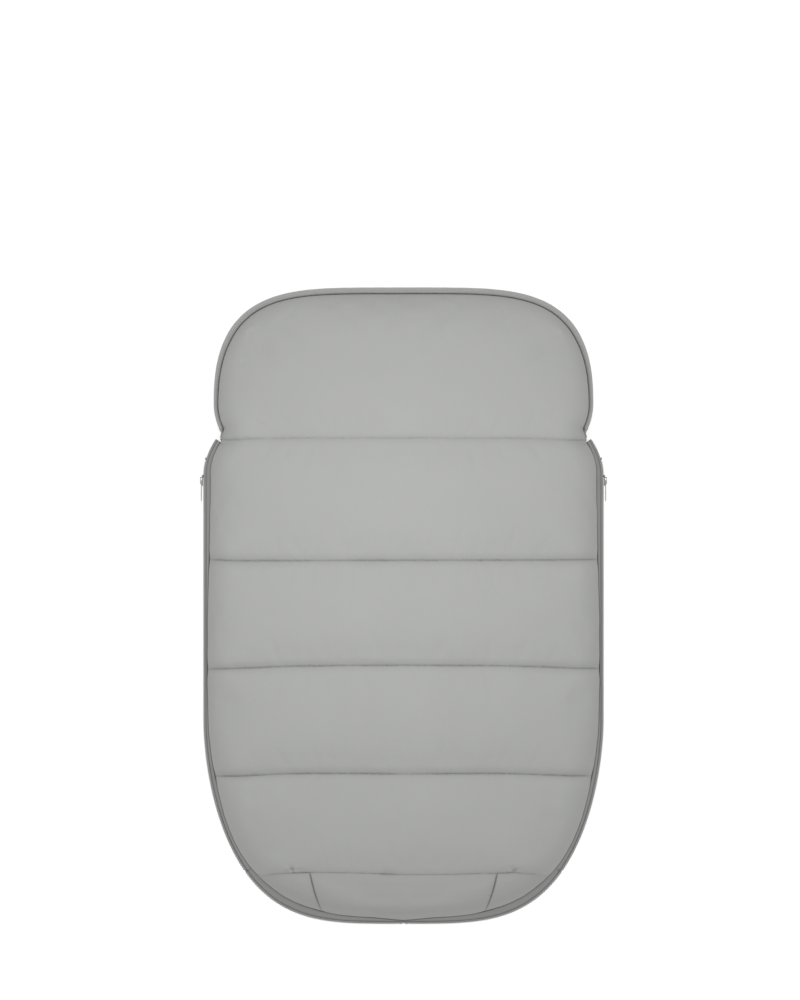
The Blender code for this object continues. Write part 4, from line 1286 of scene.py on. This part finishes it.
# Zips: tapes, rows of moulded teeth, stops, sliders and pulls
zips = {
    "pitch": 0.00306,
    "rowHeight": 0.0022,
    "rowSlot": 0.0016,
    "matRowZ": 0.031,
    "rowStartY": 0.1813,
    "rowEnd": 0.0065,
    "firstToothY": 0.1790,   # set where a slider meets as few teeth low as high
    "seamTeeth": (0.0016, 0.0013),   # how far the two rows stop from the foot seam
    "unevenness": 0.015,
    "headShare": 0.86,
    "coverToothDepth": 0.00138,
    "matToothDepth": 0.0006,
    "tape": 0.0006,
    "tapeEnd": 0.0002,
    "stationStep": 0.002,
    "flutterWaves": (0.013, 0.024, 0.05),
    # sections out from the chain and up from the row; each starts in between its own teeth
    "coverSection": ((0.0004, -0.0019), (0.0005, 0), (0.0008, 0.0014), (0.0014, 0.0025), (0.0022, 0.0029),
                     (0.0028, 0.0028)),
    "matSection": ((0, 0.0019), (0, 0), (0.0005, -0.0027), (0.003, -0.0067), (0.0107, -0.0102)),
    "matSectionDrop": 0.0003,
    "dip": 0.0028,
    "dipStain": 0.0006,
    "ridge": (0.0016, 0.0034, 0.0002, 0.0004),   # back from the hem, least, height and flutter
    "gutter": (0.0002, 0.0015, 0.0006),   # back from the hem, depth and flutter
    "underHem": (0.002, 0.0007),   # out under the hem, and down
}
coverRowTop = zips["matRowZ"] + 2 * zips["rowHeight"] + zips["rowSlot"]


def chainPart(start, end):   # stations of the chain between two lengths down it
    at = np.linspace(start, end, int((end - start) / zips["stationStep"]) + 1)
    return {
        "spots": pointsAt(at, chainLengths, chain),
        "normals": pointsAt(at, chainLengths, chainNormals),
        "shows": np.interp(at, chainLengths, chainShows),
    }


def smoothLine(points, count):   # rounded curve through a few points of a section
    points = np.asarray(points, float)
    padded = np.concatenate([[2 * points[0] - points[1]], points, [2 * points[-1] - points[-2]]])
    line = []
    for i in range(1, len(padded) - 2):
        a, b, c, d = padded[i - 1:i + 3]
        for t in np.linspace(0, 1, count, endpoint=False):
            line.append(0.5 * (2 * b + (c - a) * t + (2 * a - 5 * b + 4 * c - d) * t * t
                               + (3 * b - a - 3 * c + d) * t ** 3))
    return np.array(line + [padded[-2]])


def stripRing(line, depth):   # closed section of a thin strip round its middle line
    normal = outwardNormals(line) * depth / 2
    return np.concatenate([line + normal, (line - normal)[::-1]])


def coverTapeRing(show, flutter):   # up from the teeth, a dip, over a ridge and into the gutter at the hem
    ridgeBack, ridgeLeast, ridgeRise, ridgeFlutter = zips["ridge"]
    gutterBack, gutterDrop, gutterFlutter = zips["gutter"]
    out, down = zips["underHem"]
    gutter = pad["rimZ"] - gutterDrop - flutter * gutterFlutter
    points = [(x, coverRowTop + rise) for x, rise in zips["coverSection"]]
    points.append((max(show - ridgeBack, ridgeLeast), pad["rimZ"] + ridgeRise + flutter * ridgeFlutter))
    points += [(show - gutterBack, gutter), (show + out, gutter - down)]
    return stripRing(smoothLine(points, 4), zips["tape"])


def matTapeRing(show, flutter):
    top = zips["matRowZ"] - zips["matSectionDrop"]
    return stripRing(smoothLine([(x, top + rise) for x, rise in zips["matSection"]], 4), zips["tape"])


def makeTape(name, part, section, sign, node):
    flutter = ripple(part["spots"][:, 1], part["spots"][:, 0], zips["flutterWaves"], 81 if sign > 0 else 82)
    rings = []
    for spot, normal, show, waver in zip(part["spots"], part["normals"], part["shows"], flutter):
        ring = section(show, waver)
        rings.append(np.column_stack([(spot - normal * ring[:, :1]) * (sign, 1), ring[:, 1]]))
    path = np.column_stack([part["spots"] * (sign, 1), np.zeros(len(rings))])
    piece = sweepTube(name, path, np.array(rings), zipTape)
    if section is coverTapeRing:
        # painted shade in the gutter under the hem and in the dip beside the teeth
        inset = np.array([section(show, 0)[:, 0] for show in part["shows"]])
        hemShadeMark = 0.9 * bump(inset - part["shows"][:, None], cover["stainWidth"])
        shadeMarks = np.maximum(hemShadeMark, bump(inset - zips["dip"], zips["dipStain"]))
        addValue(piece.data, "crease", shadeMarks.ravel())
    return dress(piece, "zip_tape", node)


def toothUnit(name, lean, depth, way):   # head, neck and body upright, then a clamp leaning in over the tape
    high, head = zips["rowHeight"], zips["rowSlot"] * zips["headShare"]
    stations = (   # out, up, half width, half depth
        (0, -head, 0.00036, 0.8), (0, -head * 0.75, 0.00064, 1), (0, -0.0003, 0.0005, 1), (0, 0, 0.00078, 1),
        (0, high * 0.5, 0.00082, 1), (0, high, 0.00088, 0.98), (-0.0004, high + 0.0014, 0.00088, 0.76),
        (-0.0012, high + 0.0025, 0.00086, 0.62), (-0.0020, high + 0.0029, 0.00072, 0.5))
    corners = ((1, 0.6), (0.6, 1), (-0.6, 1), (-1, 0.6), (-1, -0.6), (-0.6, -1), (0.6, -1), (1, -0.6))
    outs, ups, wides, deeps = np.array(stations).T
    line = np.stack([outs * lean, ups], 1)
    points = [
        (x * wide, spot[0] + step[1] * across * deep, (spot[1] - step[0] * across * deep) * way)
        for spot, step, wide, deep in zip(line, waysAlong(line), wides, deeps * depth) for x, across in corners]
    return newPiece(name, points, tubeFaces(len(line), len(corners)), [zipTeeth], sharpAngle=35)


def repeatTree():   # Geometry Nodes: one copy of a unit every so far along a path
    tree, given, leave = startGroup("repeatAlongPath", (
        ("Geometry", "Geometry"), ("Unit", "Object"), ("Spacing", "Float"), ("Unevenness", "Float"),
        ("Seed", "Int"), ("Material", "Material"),
    ), (("Geometry", "Geometry"),), "GeometryNodeTree")

    def add(kind, settings=None, **values):
        return addNode(tree, kind, settings, **values).outputs

    curve = add("GeometryNodeMeshToCurve", Mesh=given["Geometry"])
    spaced = add("GeometryNodeResampleCurve", {"mode": "LENGTH"}, Curve=curve[0], Length=given["Spacing"])
    way = add("GeometryNodeInputTangent")
    onward = add("FunctionNodeAlignRotationToVector", {"axis": "X"}, Vector=way[0])
    out = add("GeometryNodeInputNamedAttribute", {"data_type": "FLOAT_VECTOR"}, Name="out")
    upward = add(
        "FunctionNodeAlignRotationToVector", {"axis": "Z", "pivot_axis": "X"}, Rotation=onward[0],
        Vector=out["Attribute"])
    unit = add("GeometryNodeObjectInfo", Object=given["Unit"])
    size = addNode(tree, "FunctionNodeRandomValue", {"data_type": "FLOAT"}, Seed=given["Seed"])
    for index, operation in ((2, "SUBTRACT"), (3, "ADD")):   # least and most of the decimal range
        wire(tree, maths(tree, operation, 1.0, given["Unevenness"]), size.inputs[index])
    copies = add(
        "GeometryNodeInstanceOnPoints", Points=spaced[0], Instance=unit["Geometry"], Rotation=upward[0],
        Scale=size.outputs[1])
    solid = add("GeometryNodeRealizeInstances", Geometry=copies[0])
    finish = add("GeometryNodeSetMaterial", Geometry=solid[0], Material=given["Material"])
    feed(tree, leave, Geometry=finish[0])
    return tree


repeatAlongPath = repeatTree()


def repeatAlong(name, paths, unit, spacing, material, unevenness, seed):   # paths: pairs of points and outs
    mesh = bpy.data.meshes.new(name + "_path")
    edges, start = [], 0
    for path, _ in paths:
        edges += [(start + i, start + i + 1) for i in range(len(path) - 1)]
        start += len(path)
    mesh.from_pydata(np.concatenate([path for path, _ in paths]).tolist(), edges, [])
    outs = np.concatenate([np.broadcast_to(out, path.shape) for path, out in paths]).astype(np.float32)
    mesh.attributes.new("out", "FLOAT_VECTOR", "POINT").data.foreach_set("vector", outs.ravel())
    carrier = linked(name + "_path", mesh)
    modifier = carrier.modifiers.new("repeat", "NODES")
    modifier.node_group = repeatAlongPath
    given = {"Unit": unit, "Spacing": spacing, "Unevenness": unevenness, "Seed": seed, "Material": material}
    for item in repeatAlongPath.interface.items_tree:
        if item.item_type == "SOCKET" and item.in_out == "INPUT" and item.name in given:
            modifier[item.identifier] = given[item.name]
    bpy.context.view_layer.update()
    evaluated = carrier.evaluated_get(bpy.context.evaluated_depsgraph_get())
    result = bpy.data.meshes.new_from_object(evaluated)
    bpy.data.objects.remove(carrier)
    result.name = name
    return linked(name, result)


up = np.array([0.0, 0.0, 1.0])
coverTooth = toothUnit("cover_tooth", 1.0, zips["coverToothDepth"], 1)
matTooth = toothUnit("mat_tooth", 0.2, zips["matToothDepth"], -1)


def toothPath(start, end, z, sign, phase):   # stations a whole number of teeth apart along the chain
    pitch, zero = zips["pitch"], lengthAtY(zips["firstToothY"])
    first = math.ceil((start - zero) / pitch - phase - 1e-6) + phase
    last = math.floor((end - zero) / pitch - phase) + phase
    at = np.linspace(zero + first * pitch, zero + last * pitch + 2e-5, int(last - first) * 6 + 1)
    path = np.column_stack([pointsAt(at, chainLengths, chain) * (sign, 1), np.full(len(at), z)])
    return path[::sign]   # so that a tooth's own Y axis points out of the bag on both sides


def makeZip(side, sign):
    top, tapeEnd = lengthAtY(plan["zipTopY"]), chainLengths[-1] - zips["tapeEnd"]
    aboveSeam, belowSeam = lengthAtY(footSeamY + seamGap / 2), lengthAtY(footSeamY - seamGap / 2)
    made = {}
    for key, name, start, end, section, node in (
        ("coverTape", "cover_zip_tape_", top, aboveSeam, coverTapeRing, "zip_tape_cover_"),
        ("footTape", "foot_cap_zip_tape_", belowSeam, tapeEnd, coverTapeRing, "foot_zip_tape_"),
        ("matTape", "mat_zip_tape_", top, tapeEnd, matTapeRing, "zip_tape_mat_"),
    ):
        made[key] = makeTape(name + side, chainPart(start, end), section, sign, node + side)
    rowZ = coverRowTop - zips["rowHeight"]
    matZ = zips["matRowZ"] + zips["rowHeight"]
    start, seam = lengthAtY(zips["rowStartY"]), lengthAtY(footSeamY)
    end = chainLengths[-1] - zips["rowEnd"]
    above, below = zips["seamTeeth"]
    for key, name, start, end, z, phase, unit, node in (
        ("coverTeeth", "cover_zip_teeth_", start, seam - above, rowZ, 0, coverTooth, "zip_teeth_cover_"),
        ("footTeeth", "foot_cap_zip_teeth_", seam + below, end, rowZ, 0, coverTooth, "foot_zip_teeth_"),
        ("matTeeth", "mat_zip_teeth_", start, end, matZ, 0.5, matTooth, "zip_teeth_mat_"),
    ):
        path = toothPath(start, end, z, sign, phase)
        piece = repeatAlong(name + side, [(path, up)], unit, zips["pitch"], zipTeeth, zips["unevenness"], 5)
        made[key] = dress(piece, "zip_teeth", node + side)
    return made


zipPieces = {side: makeZip(side, sign) for side, sign in (("left", -1), ("right", 1))}
for unit in (coverTooth, matTooth):
    bpy.data.objects.remove(unit)
join = {"half": 0.0009, "behind": 0.0016, "depth": 0.0005}


def makeJoin():   # a narrow strip behind the slit where the two zips meet
    sections = [section(chainShows[-1], 0) for section in (matTapeRing, coverTapeRing)]
    low, high = ((ring[:len(ring) // 2] + ring[len(ring) // 2:][::-1]) / 2 for ring in sections)
    line = np.concatenate([low[1:-2][::-1], high[:-9]])   # middle of both tapes, short of the seat and the ridge
    line -= outwardNormals(line) * join["behind"]
    section = stripRing(line[2:], join["depth"])
    rings = np.array([
        np.column_stack([np.full(len(section), x), chain[-1, 1] + section[:, 0], section[:, 1]])
        for x in np.linspace(-join["half"], join["half"], 3)])
    dress(sweepTube("zip_join_backing", rings[:, 0], rings, zipTape), "zip_tape", body="mat")


makeJoin()
print("zips made")
edges = {"merge": 0.00002, "flat": 2, "sharp": 30, "segments": 3, "profile": 0.6, "shade": 40}


def refined(node, name, width, material, slot, body):   # a CAD shape with its edges rounded
    mesh = frame["nodes"][node].data.copy()
    mesh.name = name
    shape = bmesh.new()
    shape.from_mesh(mesh)
    bmesh.ops.remove_doubles(shape, verts=shape.verts, dist=edges["merge"])
    bmesh.ops.dissolve_limit(
        shape, angle_limit=math.radians(edges["flat"]), verts=shape.verts, edges=shape.edges)
    least = math.radians(edges["sharp"])
    sharp = [edge for edge in shape.edges if edge.is_manifold and edge.calc_face_angle(0) > least]
    bmesh.ops.bevel(
        shape, geom=sharp, offset=width, offset_type="OFFSET", segments=edges["segments"],
        profile=edges["profile"], affect="EDGES", clamp_overlap=True)
    bmesh.ops.recalc_face_normals(shape, faces=shape.faces)
    shape.to_mesh(mesh)
    shape.free()
    mesh.materials.clear()
    mesh.materials.append(material)
    mesh.shade_smooth()
    mesh.set_sharp_from_angle(angle=math.radians(edges["shade"]))
    return dress(linked(name, mesh), slot, node, body=body)


for side in ("left", "right"):
    for node, name, width, material, slot, body in (
        ("slider_", "zip_slider_", 0.00035, sliderMetal, "slider_metal", "slider_%s_body" % side),
        ("pull_", "zip_pull_", 0.00025, sliderMetal, "slider_metal", "pull_%s_body" % side),
        ("top_stop_mat_", "mat_top_stop_", 0.0003, zipStop, "zip_stop", "mat"),
        ("top_stop_cover_", "cover_top_stop_", 0.0003, zipStop, "zip_stop", "cover"),
        ("bottom_stop_", "zip_bottom_stop_", 0.0003, zipStop, "zip_stop", "mat"),
    ):
        refined(node + side, name + side, width, material, slot, body)
print("sliders, pulls and stops made")

# Mat: back cloth, wadding and a quilted fleece lining, with bound slots for the harness
mat = {
    "inset": 0.011,
    "headInset": 0.008,
    "bottomZ": 0.0015,
    "topZ": 0.0237,
    "topRound": 0.003,
    "bottomRound": 0.007,
    "lattice": 0.0075,
    "latticeHalf": (0.26, 0.41),
    "latticeInset": 0.0055,
    "outlineStep": 0.006,
    "outlineRings": (0.0004, 0.0012, 0.003),
    "wallRows": 5,
    "border": 0.006,
    "slotStep": 0.0045,
    "slotClear": 0.002,
    "slotCalm": (0.007, 0.006),   # flat up to here beside a slot, and then the rise
    "quiltYs": (-0.285, -0.205, -0.105, 0.0, 0.195, 0.290),
    "quiltRows": (-0.004, -0.002, 0, 0.002, 0.004),
    "quiltDepth": 0.0022,
    "quiltWidth": 0.006,
    "soft": 0.0004,
    "softWaves": (0.03, 0.06, 0.11),
    "seed": 61,
}
bindingNodes = sorted(name for name in frame["nodes"] if name.startswith("slot_binding_"))


def matOutline():
    right = (chain - chainNormals * mat["inset"])[::-1]
    right = right[right[:, 0] > 0.002]
    head = headOutline(lambda y: np.full_like(y, mat["headInset"]))
    half, _ = resample(np.concatenate([[(0, right[0, 1])], right, head]), mat["outlineStep"])
    return np.concatenate([half, (half[1:-1] * (-1, 1))[::-1]])


def insideOf(points, loop):   # which points lie inside a closed loop
    x, y = points[:, 0, None], points[:, 1, None]
    a, b = loop, np.roll(loop, -1, axis=0)
    crosses = (a[:, 1] > y) != (b[:, 1] > y)
    at = a[:, 0] + (y - a[:, 1]) / np.where(b[:, 1] == a[:, 1], 1, b[:, 1] - a[:, 1]) * (b[:, 0] - a[:, 0])
    return (crosses & (x < at)).sum(1) % 2 == 1


def distanceTo(points, loop):
    a, way = loop, np.roll(loop, -1, axis=0) - loop
    far = np.empty(len(points))
    for start in range(0, len(points), plan["batch"]):
        part = points[start:start + plan["batch"], None]
        share = np.clip(((part - a) * way).sum(2) / (way ** 2).sum(1), 0, 1)
        far[start:start + len(part)] = np.sqrt((((a + way * share[..., None]) - part) ** 2).sum(2).min(1))
    return far


def loopInset(loop, distance):
    way = np.roll(loop, -1, axis=0) - np.roll(loop, 1, axis=0)
    way /= np.linalg.norm(way, axis=1)[:, None]
    return loop + np.stack([-way[:, 1], way[:, 0]], 1) * distance


def slotCorners(node, inset):   # corners of a binding, moved in
    low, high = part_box(node)
    left, right, near, far = low.x + inset, high.x - inset, low.y + inset, high.y - inset
    return np.array([(left, near), (right, near), (right, far), (left, far)])


def matSlots():   # the opening inside each binding
    holes = []
    for node in bindingNodes:
        corners = slotCorners(node, mat["border"])
        loop, _ = resample(np.concatenate([corners, corners[:1]]), mat["slotStep"])
        holes.append(loop[:-1])
    return holes


def matNet(outline, holes):   # flat triangles that fill the outline round its slots
    width, length = mat["latticeHalf"]
    xs = np.arange(-width, width, mat["lattice"])
    quiltYs = [y + np.array(mat["quiltRows"]) for y in mat["quiltYs"]]
    ys = np.concatenate([np.arange(-length, length, mat["lattice"]), *quiltYs])
    lattice = np.stack(np.meshgrid(xs, ys), -1).reshape(-1, 2)
    lattice = lattice[insideOf(lattice, loopInset(outline, mat["latticeInset"]))]
    for hole in holes:
        lattice = lattice[(distanceTo(lattice, hole) > mat["slotClear"]) & ~insideOf(lattice, hole)]
    loops = [outline] + [loopInset(outline, inset) for inset in mat["outlineRings"]] + holes
    loopEdges, start = [], 0
    for loop in loops:
        count = len(loop)
        loopEdges += [(start + i, start + (i + 1) % count) for i in range(count)]
        start += count
    corners = [Vector(spot) for spot in np.concatenate([*loops, lattice]).tolist()]
    verts, _, faces, _, _, _ = delaunay_2d_cdt(corners, loopEdges, [], 0, 1e-7)
    spots, faces = np.array([tuple(v) for v in verts]), np.array(faces)
    middles = spots[faces].mean(1)
    keep = insideOf(middles, outline)
    for hole in holes:
        keep &= ~insideOf(middles, hole)
    used, faces = np.unique(faces[keep], return_inverse=True)
    return spots[used], faces.reshape(-1, 3)


def rounded(far, radius):   # how far a rounded edge has dropped at a distance in from it
    inner = radius - np.clip(far, 0, radius)
    return radius - np.sqrt(radius ** 2 - inner ** 2)


def matWalls(faces, top, bottom):   # rows of points down the border, and the quads between them
    pairs = np.concatenate([faces[:, [0, 1]], faces[:, [1, 2]], faces[:, [2, 0]]])
    _, inverse, counts = np.unique(np.sort(pairs, axis=1), axis=0, return_inverse=True, return_counts=True)
    border = pairs[counts[inverse.ravel()] == 1]
    used = np.unique(border)
    index = np.full((mat["wallRows"] + 1, len(top)), -1)
    index[0] = np.arange(len(top))
    index[-1] = index[0] + len(top)
    rows = []
    for row in range(1, mat["wallRows"]):
        share = row / mat["wallRows"]
        rows.append(top[used] * (1 - share) + bottom[used] * share)
        index[row, used] = 2 * len(top) + (row - 1) * len(used) + np.arange(len(used))
    a, b = border.T
    return rows, np.concatenate([
        np.stack([high[b], high[a], low[a], low[b]], 1) for high, low in zip(index, index[1:])])


def makeMat():
    outline = matOutline()
    x, y = outline.T
    if (x * np.roll(y, -1) - np.roll(x, -1) * y).sum() < 0:
        outline = outline[::-1]
    holes = matSlots()
    spots, faces = matNet(outline, holes)
    far = distanceTo(spots, outline)
    slotFar = np.min([distanceTo(spots, hole) for hole in holes], axis=0)
    quilt = np.max([bump(spots[:, 1] - y, mat["quiltWidth"] / 2) for y in mat["quiltYs"]], axis=0)
    flat, rise = mat["slotCalm"]
    soft = mat["soft"] * (1 + ripple(spots[:, 0], spots[:, 1], mat["softWaves"], mat["seed"]))
    sunk = (mat["quiltDepth"] * quilt + soft) * np.clip((slotFar - flat) / rise, 0, 1)
    top = np.column_stack([spots, mat["topZ"] - rounded(far, mat["topRound"]) - sunk])
    bottom = np.column_stack([spots, mat["bottomZ"] + rounded(far, mat["bottomRound"])])
    rows, walls = matWalls(faces, top, bottom)
    points = np.concatenate([top, bottom, *rows])
    slots = np.concatenate([np.ones(len(faces)), np.zeros(len(faces) + len(walls))])
    piece = newPiece(
        "mat_quilt", points, [*faces, *(faces[:, ::-1] + len(spots)), *walls], [backCloth, liningCloth], slots)
    addUv(piece.data, points[:, :2] + points[:, 2:])
    return dress(piece, "lining_cloth", "mat_back_shell", "mat_wadding", "mat_lining")


matQuilt = makeMat()
print("mat made:", len(matQuilt.data.polygons), "faces")

# Stitches: beside the edge roll, along the channel seams and round the slots
sewing = {
    "edgeStitch": (0.0024, 0.0006, 0.00035),   # length, width and height
    "seamStitch": (0.0031, 0.0005, 0.0003),
    "edgeSpacing": 0.0033,
    "seamSpacing": 0.0041,
    "bindingSpacing": 0.003,
    "edgeTrim": 20,
    "bindingRound": 0.0003,
}


def stitchUnit(name, length, width, height):   # one stitch: a short thread that dips at both ends
    rings = ((-0.5, 0.25, -0.35), (-0.36, 0.8, 0.15), (0, 1, 0.5), (0.36, 0.8, 0.15), (0.5, 0.25, -0.35))
    turns = [math.tau * i / 6 for i in range(6)]
    points = [
        (share * length, math.cos(turn) * width / 2 * swell, (lift + math.sin(turn) * 0.5 * swell) * height)
        for share, swell, lift in rings for turn in turns]
    return newPiece(name, points, tubeFaces(len(rings), len(turns)), [stitchThread])


stitch = stitchUnit("stitch_unit", *sewing["edgeStitch"])
collarLine = rollPath.copy()
collarLine[:, 2] += rollRadius
collarLine = collarLine[sewing["edgeTrim"]:-sewing["edgeTrim"]]
collarStitches = repeatAlong(
    "collar_stitches", [(collarLine, up)], stitch, sewing["edgeSpacing"], stitchThread, 0.08, 8)
dress(collarStitches, "piping_cloth")

seamStitch = stitchUnit("seam_stitch_unit", *sewing["seamStitch"])
coverStitches = repeatAlong(
    "cover_stitches", coverSeamLines, seamStitch, sewing["seamSpacing"], seamThread, 0.12, 12)
dress(coverStitches, "outer_cloth")

slotLoops = []
for node in bindingNodes:
    name = node.replace("slot_binding", "slot_edge")
    refined(node, name, sewing["bindingRound"], bindingTape, "zip_tape", "mat")
    corners = np.column_stack([slotCorners(node, mat["border"] / 2), np.full(4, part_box(node)[1].z)])
    slotLoops += [(np.stack([a, b]), up) for a, b in zip(corners, np.roll(corners, -1, axis=0))]
slotStitches = repeatAlong("slot_stitches", slotLoops, stitch, sewing["bindingSpacing"], darkThread, 0.05, 9)
dress(slotStitches, "zip_tape", body="mat")
print("stitches made")

# Underside: two grip panels with moulded dots, and the strap
grip = {
    "dotRadius": 0.0016,
    "dotHeight": 0.0005,
    "spacing": 0.0065,
    "rowShare": 0.87,
    "base": 0.0007,
    "corner": 0.012,
    "edge": 0.0003,
}


def dotUnit(name):
    rings = ((0.45, 0.93), (0.8, 0.6), (1, 0), (1, -0.3))   # shares of the radius and of the height
    turns = [math.tau * i / 8 for i in range(8)]
    points = [(0, 0, -grip["dotHeight"])]
    for share, drop in rings:
        radius = grip["dotRadius"] * share
        points += [(radius * math.cos(a), radius * math.sin(a), -grip["dotHeight"] * drop) for a in turns]
    faces = tubeFaces(len(rings), len(turns), 1)
    faces[-2:-1] = [(0, 1 + (i + 1) % 8, 1 + i) for i in range(8)]   # a fan to the middle closes the first ring
    return newPiece(name, points, faces, [gripRubber])


def roundedPlate(name, low, high, corner, depth, material):
    outline = []
    for cx, cy, start in ((high.x, high.y, 0), (low.x, high.y, 90), (low.x, low.y, 180), (high.x, low.y, 270)):
        centre = (cx - math.copysign(corner, cx), cy - corner if cy == high.y else cy + corner)
        for angle in np.radians(np.linspace(start, start + 90, 9)):
            outline.append((centre[0] + corner * math.cos(angle), centre[1] + corner * math.sin(angle)))
    outline = np.array(outline)
    toward = outline.mean(0) - outline
    toward /= np.linalg.norm(toward, axis=1)[:, None]
    top, edge = high.z, grip["edge"]
    points = np.concatenate([
        np.column_stack([outline + toward * inset, np.full(len(outline), z)])
        for inset, z in ((edge, top), (0, top - edge), (0, top - depth + edge), (edge, top - depth))])
    piece = newPiece(name, points, tubeFaces(4, len(outline)), [material], sharpAngle=40)
    addUv(piece.data, points[:, :2])
    return piece


dot = dotUnit("grip_dot")
for name in ("anti_slip_panel_upper", "anti_slip_panel_lower"):
    low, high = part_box(name)
    label = name.replace("anti_slip_panel", "grip_pad")
    base = roundedPlate(label, low, high, grip["corner"], grip["base"], gripBase)
    dress(base, "grip_rubber", name, body="mat")
    step, z = grip["spacing"], high.z - grip["base"]
    rows = []
    for k, y in enumerate(np.arange(low.y + step, high.y - step / 2, step * grip["rowShare"])):
        shift = step / 2 * (k % 2)
        ends = [(low.x + step + shift, y, z), (high.x - step + shift - step / 2, y, z)]
        rows.append((np.array(ends), up))
    dress(repeatAlong(label + "_dots", rows, dot, step, gripRubber, 0.03, 3), "grip_rubber", body="mat")

strap = {
    "lift": 0.0004,   # keeps the stitches under it off the floor
    "corner": 0.0012,
    "boxEdge": 0.004,
    "boxEnd": 0.034,
    "spacing": 0.003,
}
low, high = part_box("back_strap")
webbing = roundedPlate(
    "back_strap_webbing", low, high, strap["corner"], high.z - low.z - strap["lift"], strapWebbing)
dress(webbing, "strap_webbing", "back_strap", body="mat")
boxes = []
for sign in (-1, 1):
    a, b = sign * (high.x - strap["boxEdge"]), sign * (high.x - strap["boxEnd"])
    c, d = low.y + strap["boxEdge"], high.y - strap["boxEdge"]
    z = low.z + strap["lift"]
    for start, end in (((a, c), (b, c)), ((b, c), (b, d)), ((b, d), (a, d)), ((a, d), (a, c)),
                       ((a, c), (b, d)), ((a, d), (b, c))):
        boxes.append((np.array([(*start, z), (*end, z)]), -up))
strapStitches = repeatAlong("strap_stitches", boxes, stitch, strap["spacing"], darkThread, 0.05, 4)
dress(strapStitches, "strap_webbing", body="mat")
for unit in (stitch, seamStitch, dot):
    bpy.data.objects.remove(unit)
print("underside made")


def zipParts(*keys):
    return [zipPieces[side][key] for side in zipPieces for key in keys]


for carrier, mover, seamY, pieces in (
    ("mat", "cover", footSeamY, [coverQuilt, coverLining, coverStitches, *zipParts("coverTape", "coverTeeth")]),
    ("cover", "collar", collarSeamY, [collarQuilt, collarLining, collarRoll, collarStitches]),
):
    for piece in pieces:
        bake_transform(piece)
for piece in [footQuilt, footLining, matQuilt, *zipParts("footTape", "footTeeth", "matTape", "matTeeth")]:
    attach(piece, "mat")

# Studio: a white light table, one large soft light above the bag, camera straight above
studio = {
    "viewX": -0.004375,
    "viewY": 0.1325,
    "cameraHeight": 12.0,
    "planeZ": 0.045,
    "frameHeight": 1.25,
    "sensor": 36.0,
    "floorSize": 14.0,
    "floorZ": -0.0005,
    "floorColour": (0.92, 0.92, 0.92, 1),
    "floorGlow": 0.62,
    "white": (1, 1, 1, 1),
    "world": 0.68,
    "keyPower": 1.45,
    "keySize": 0.4,
    "keyPlace": (-0.02, 0.16, 0.75),
    "farthest": 100,
}


def cameraOnly(tree, seen, unseen):   # one strength for what the camera sees, another for the light cast
    way = tree.nodes.new("ShaderNodeLightPath")
    return maths(tree, "ADD", unseen, maths(tree, "MULTIPLY", way.outputs["Is Camera Ray"], seen - unseen))


def makeStudio():
    floorMesh = bpy.data.meshes.new("floor")
    half, low = studio["floorSize"] / 2, studio["floorZ"]
    corners = [(-half, -half, low), (half, -half, low), (half, half, low), (-half, half, low)]
    floorMesh.from_pydata(corners, [], [(0, 1, 2, 3)])
    material, tree, shader = blankMaterial("floor_white")
    tone = useGroup(
        tree, "tone", Vector=onBody(tree), Colour=studio["floorColour"], Drift=0.004, Patch_Scale=2.0, Fleck=0.004)
    feed(
        tree, shader, Base_Color=tone["Colour"], Roughness=0.95, Specular_IOR_Level=0.0,
        Emission_Color=studio["white"], Emission_Strength=cameraOnly(tree, studio["floorGlow"], 0.0))
    floorMesh.materials.append(material)
    linked("floor", floorMesh)
    world = scene.world or bpy.data.worlds.new("studio")
    scene.world = world
    world.use_nodes = True
    tree = world.node_tree
    feed(
        tree, tree.nodes["Background"], Color=studio["white"], Strength=cameraOnly(tree, 1.0, studio["world"]))
    light = bpy.data.lights.new("key", "AREA")
    light.shape = "DISK"
    light.size = studio["keySize"]
    light.energy = studio["keyPower"]
    key = linked("key", light)
    key.location = studio["keyPlace"]
    key.visible_camera = False
    data = bpy.data.cameras.new("camera")
    data.sensor_width = studio["sensor"]
    data.lens = studio["sensor"] * (studio["cameraHeight"] - studio["planeZ"]) / studio["frameHeight"]
    data.clip_end = studio["farthest"]
    scene.camera = linked("camera", data)
    scene.camera.location = (studio["viewX"], studio["viewY"], studio["cameraHeight"])


makeStudio()
scene.view_settings.view_transform = "Standard"
print("studio set")
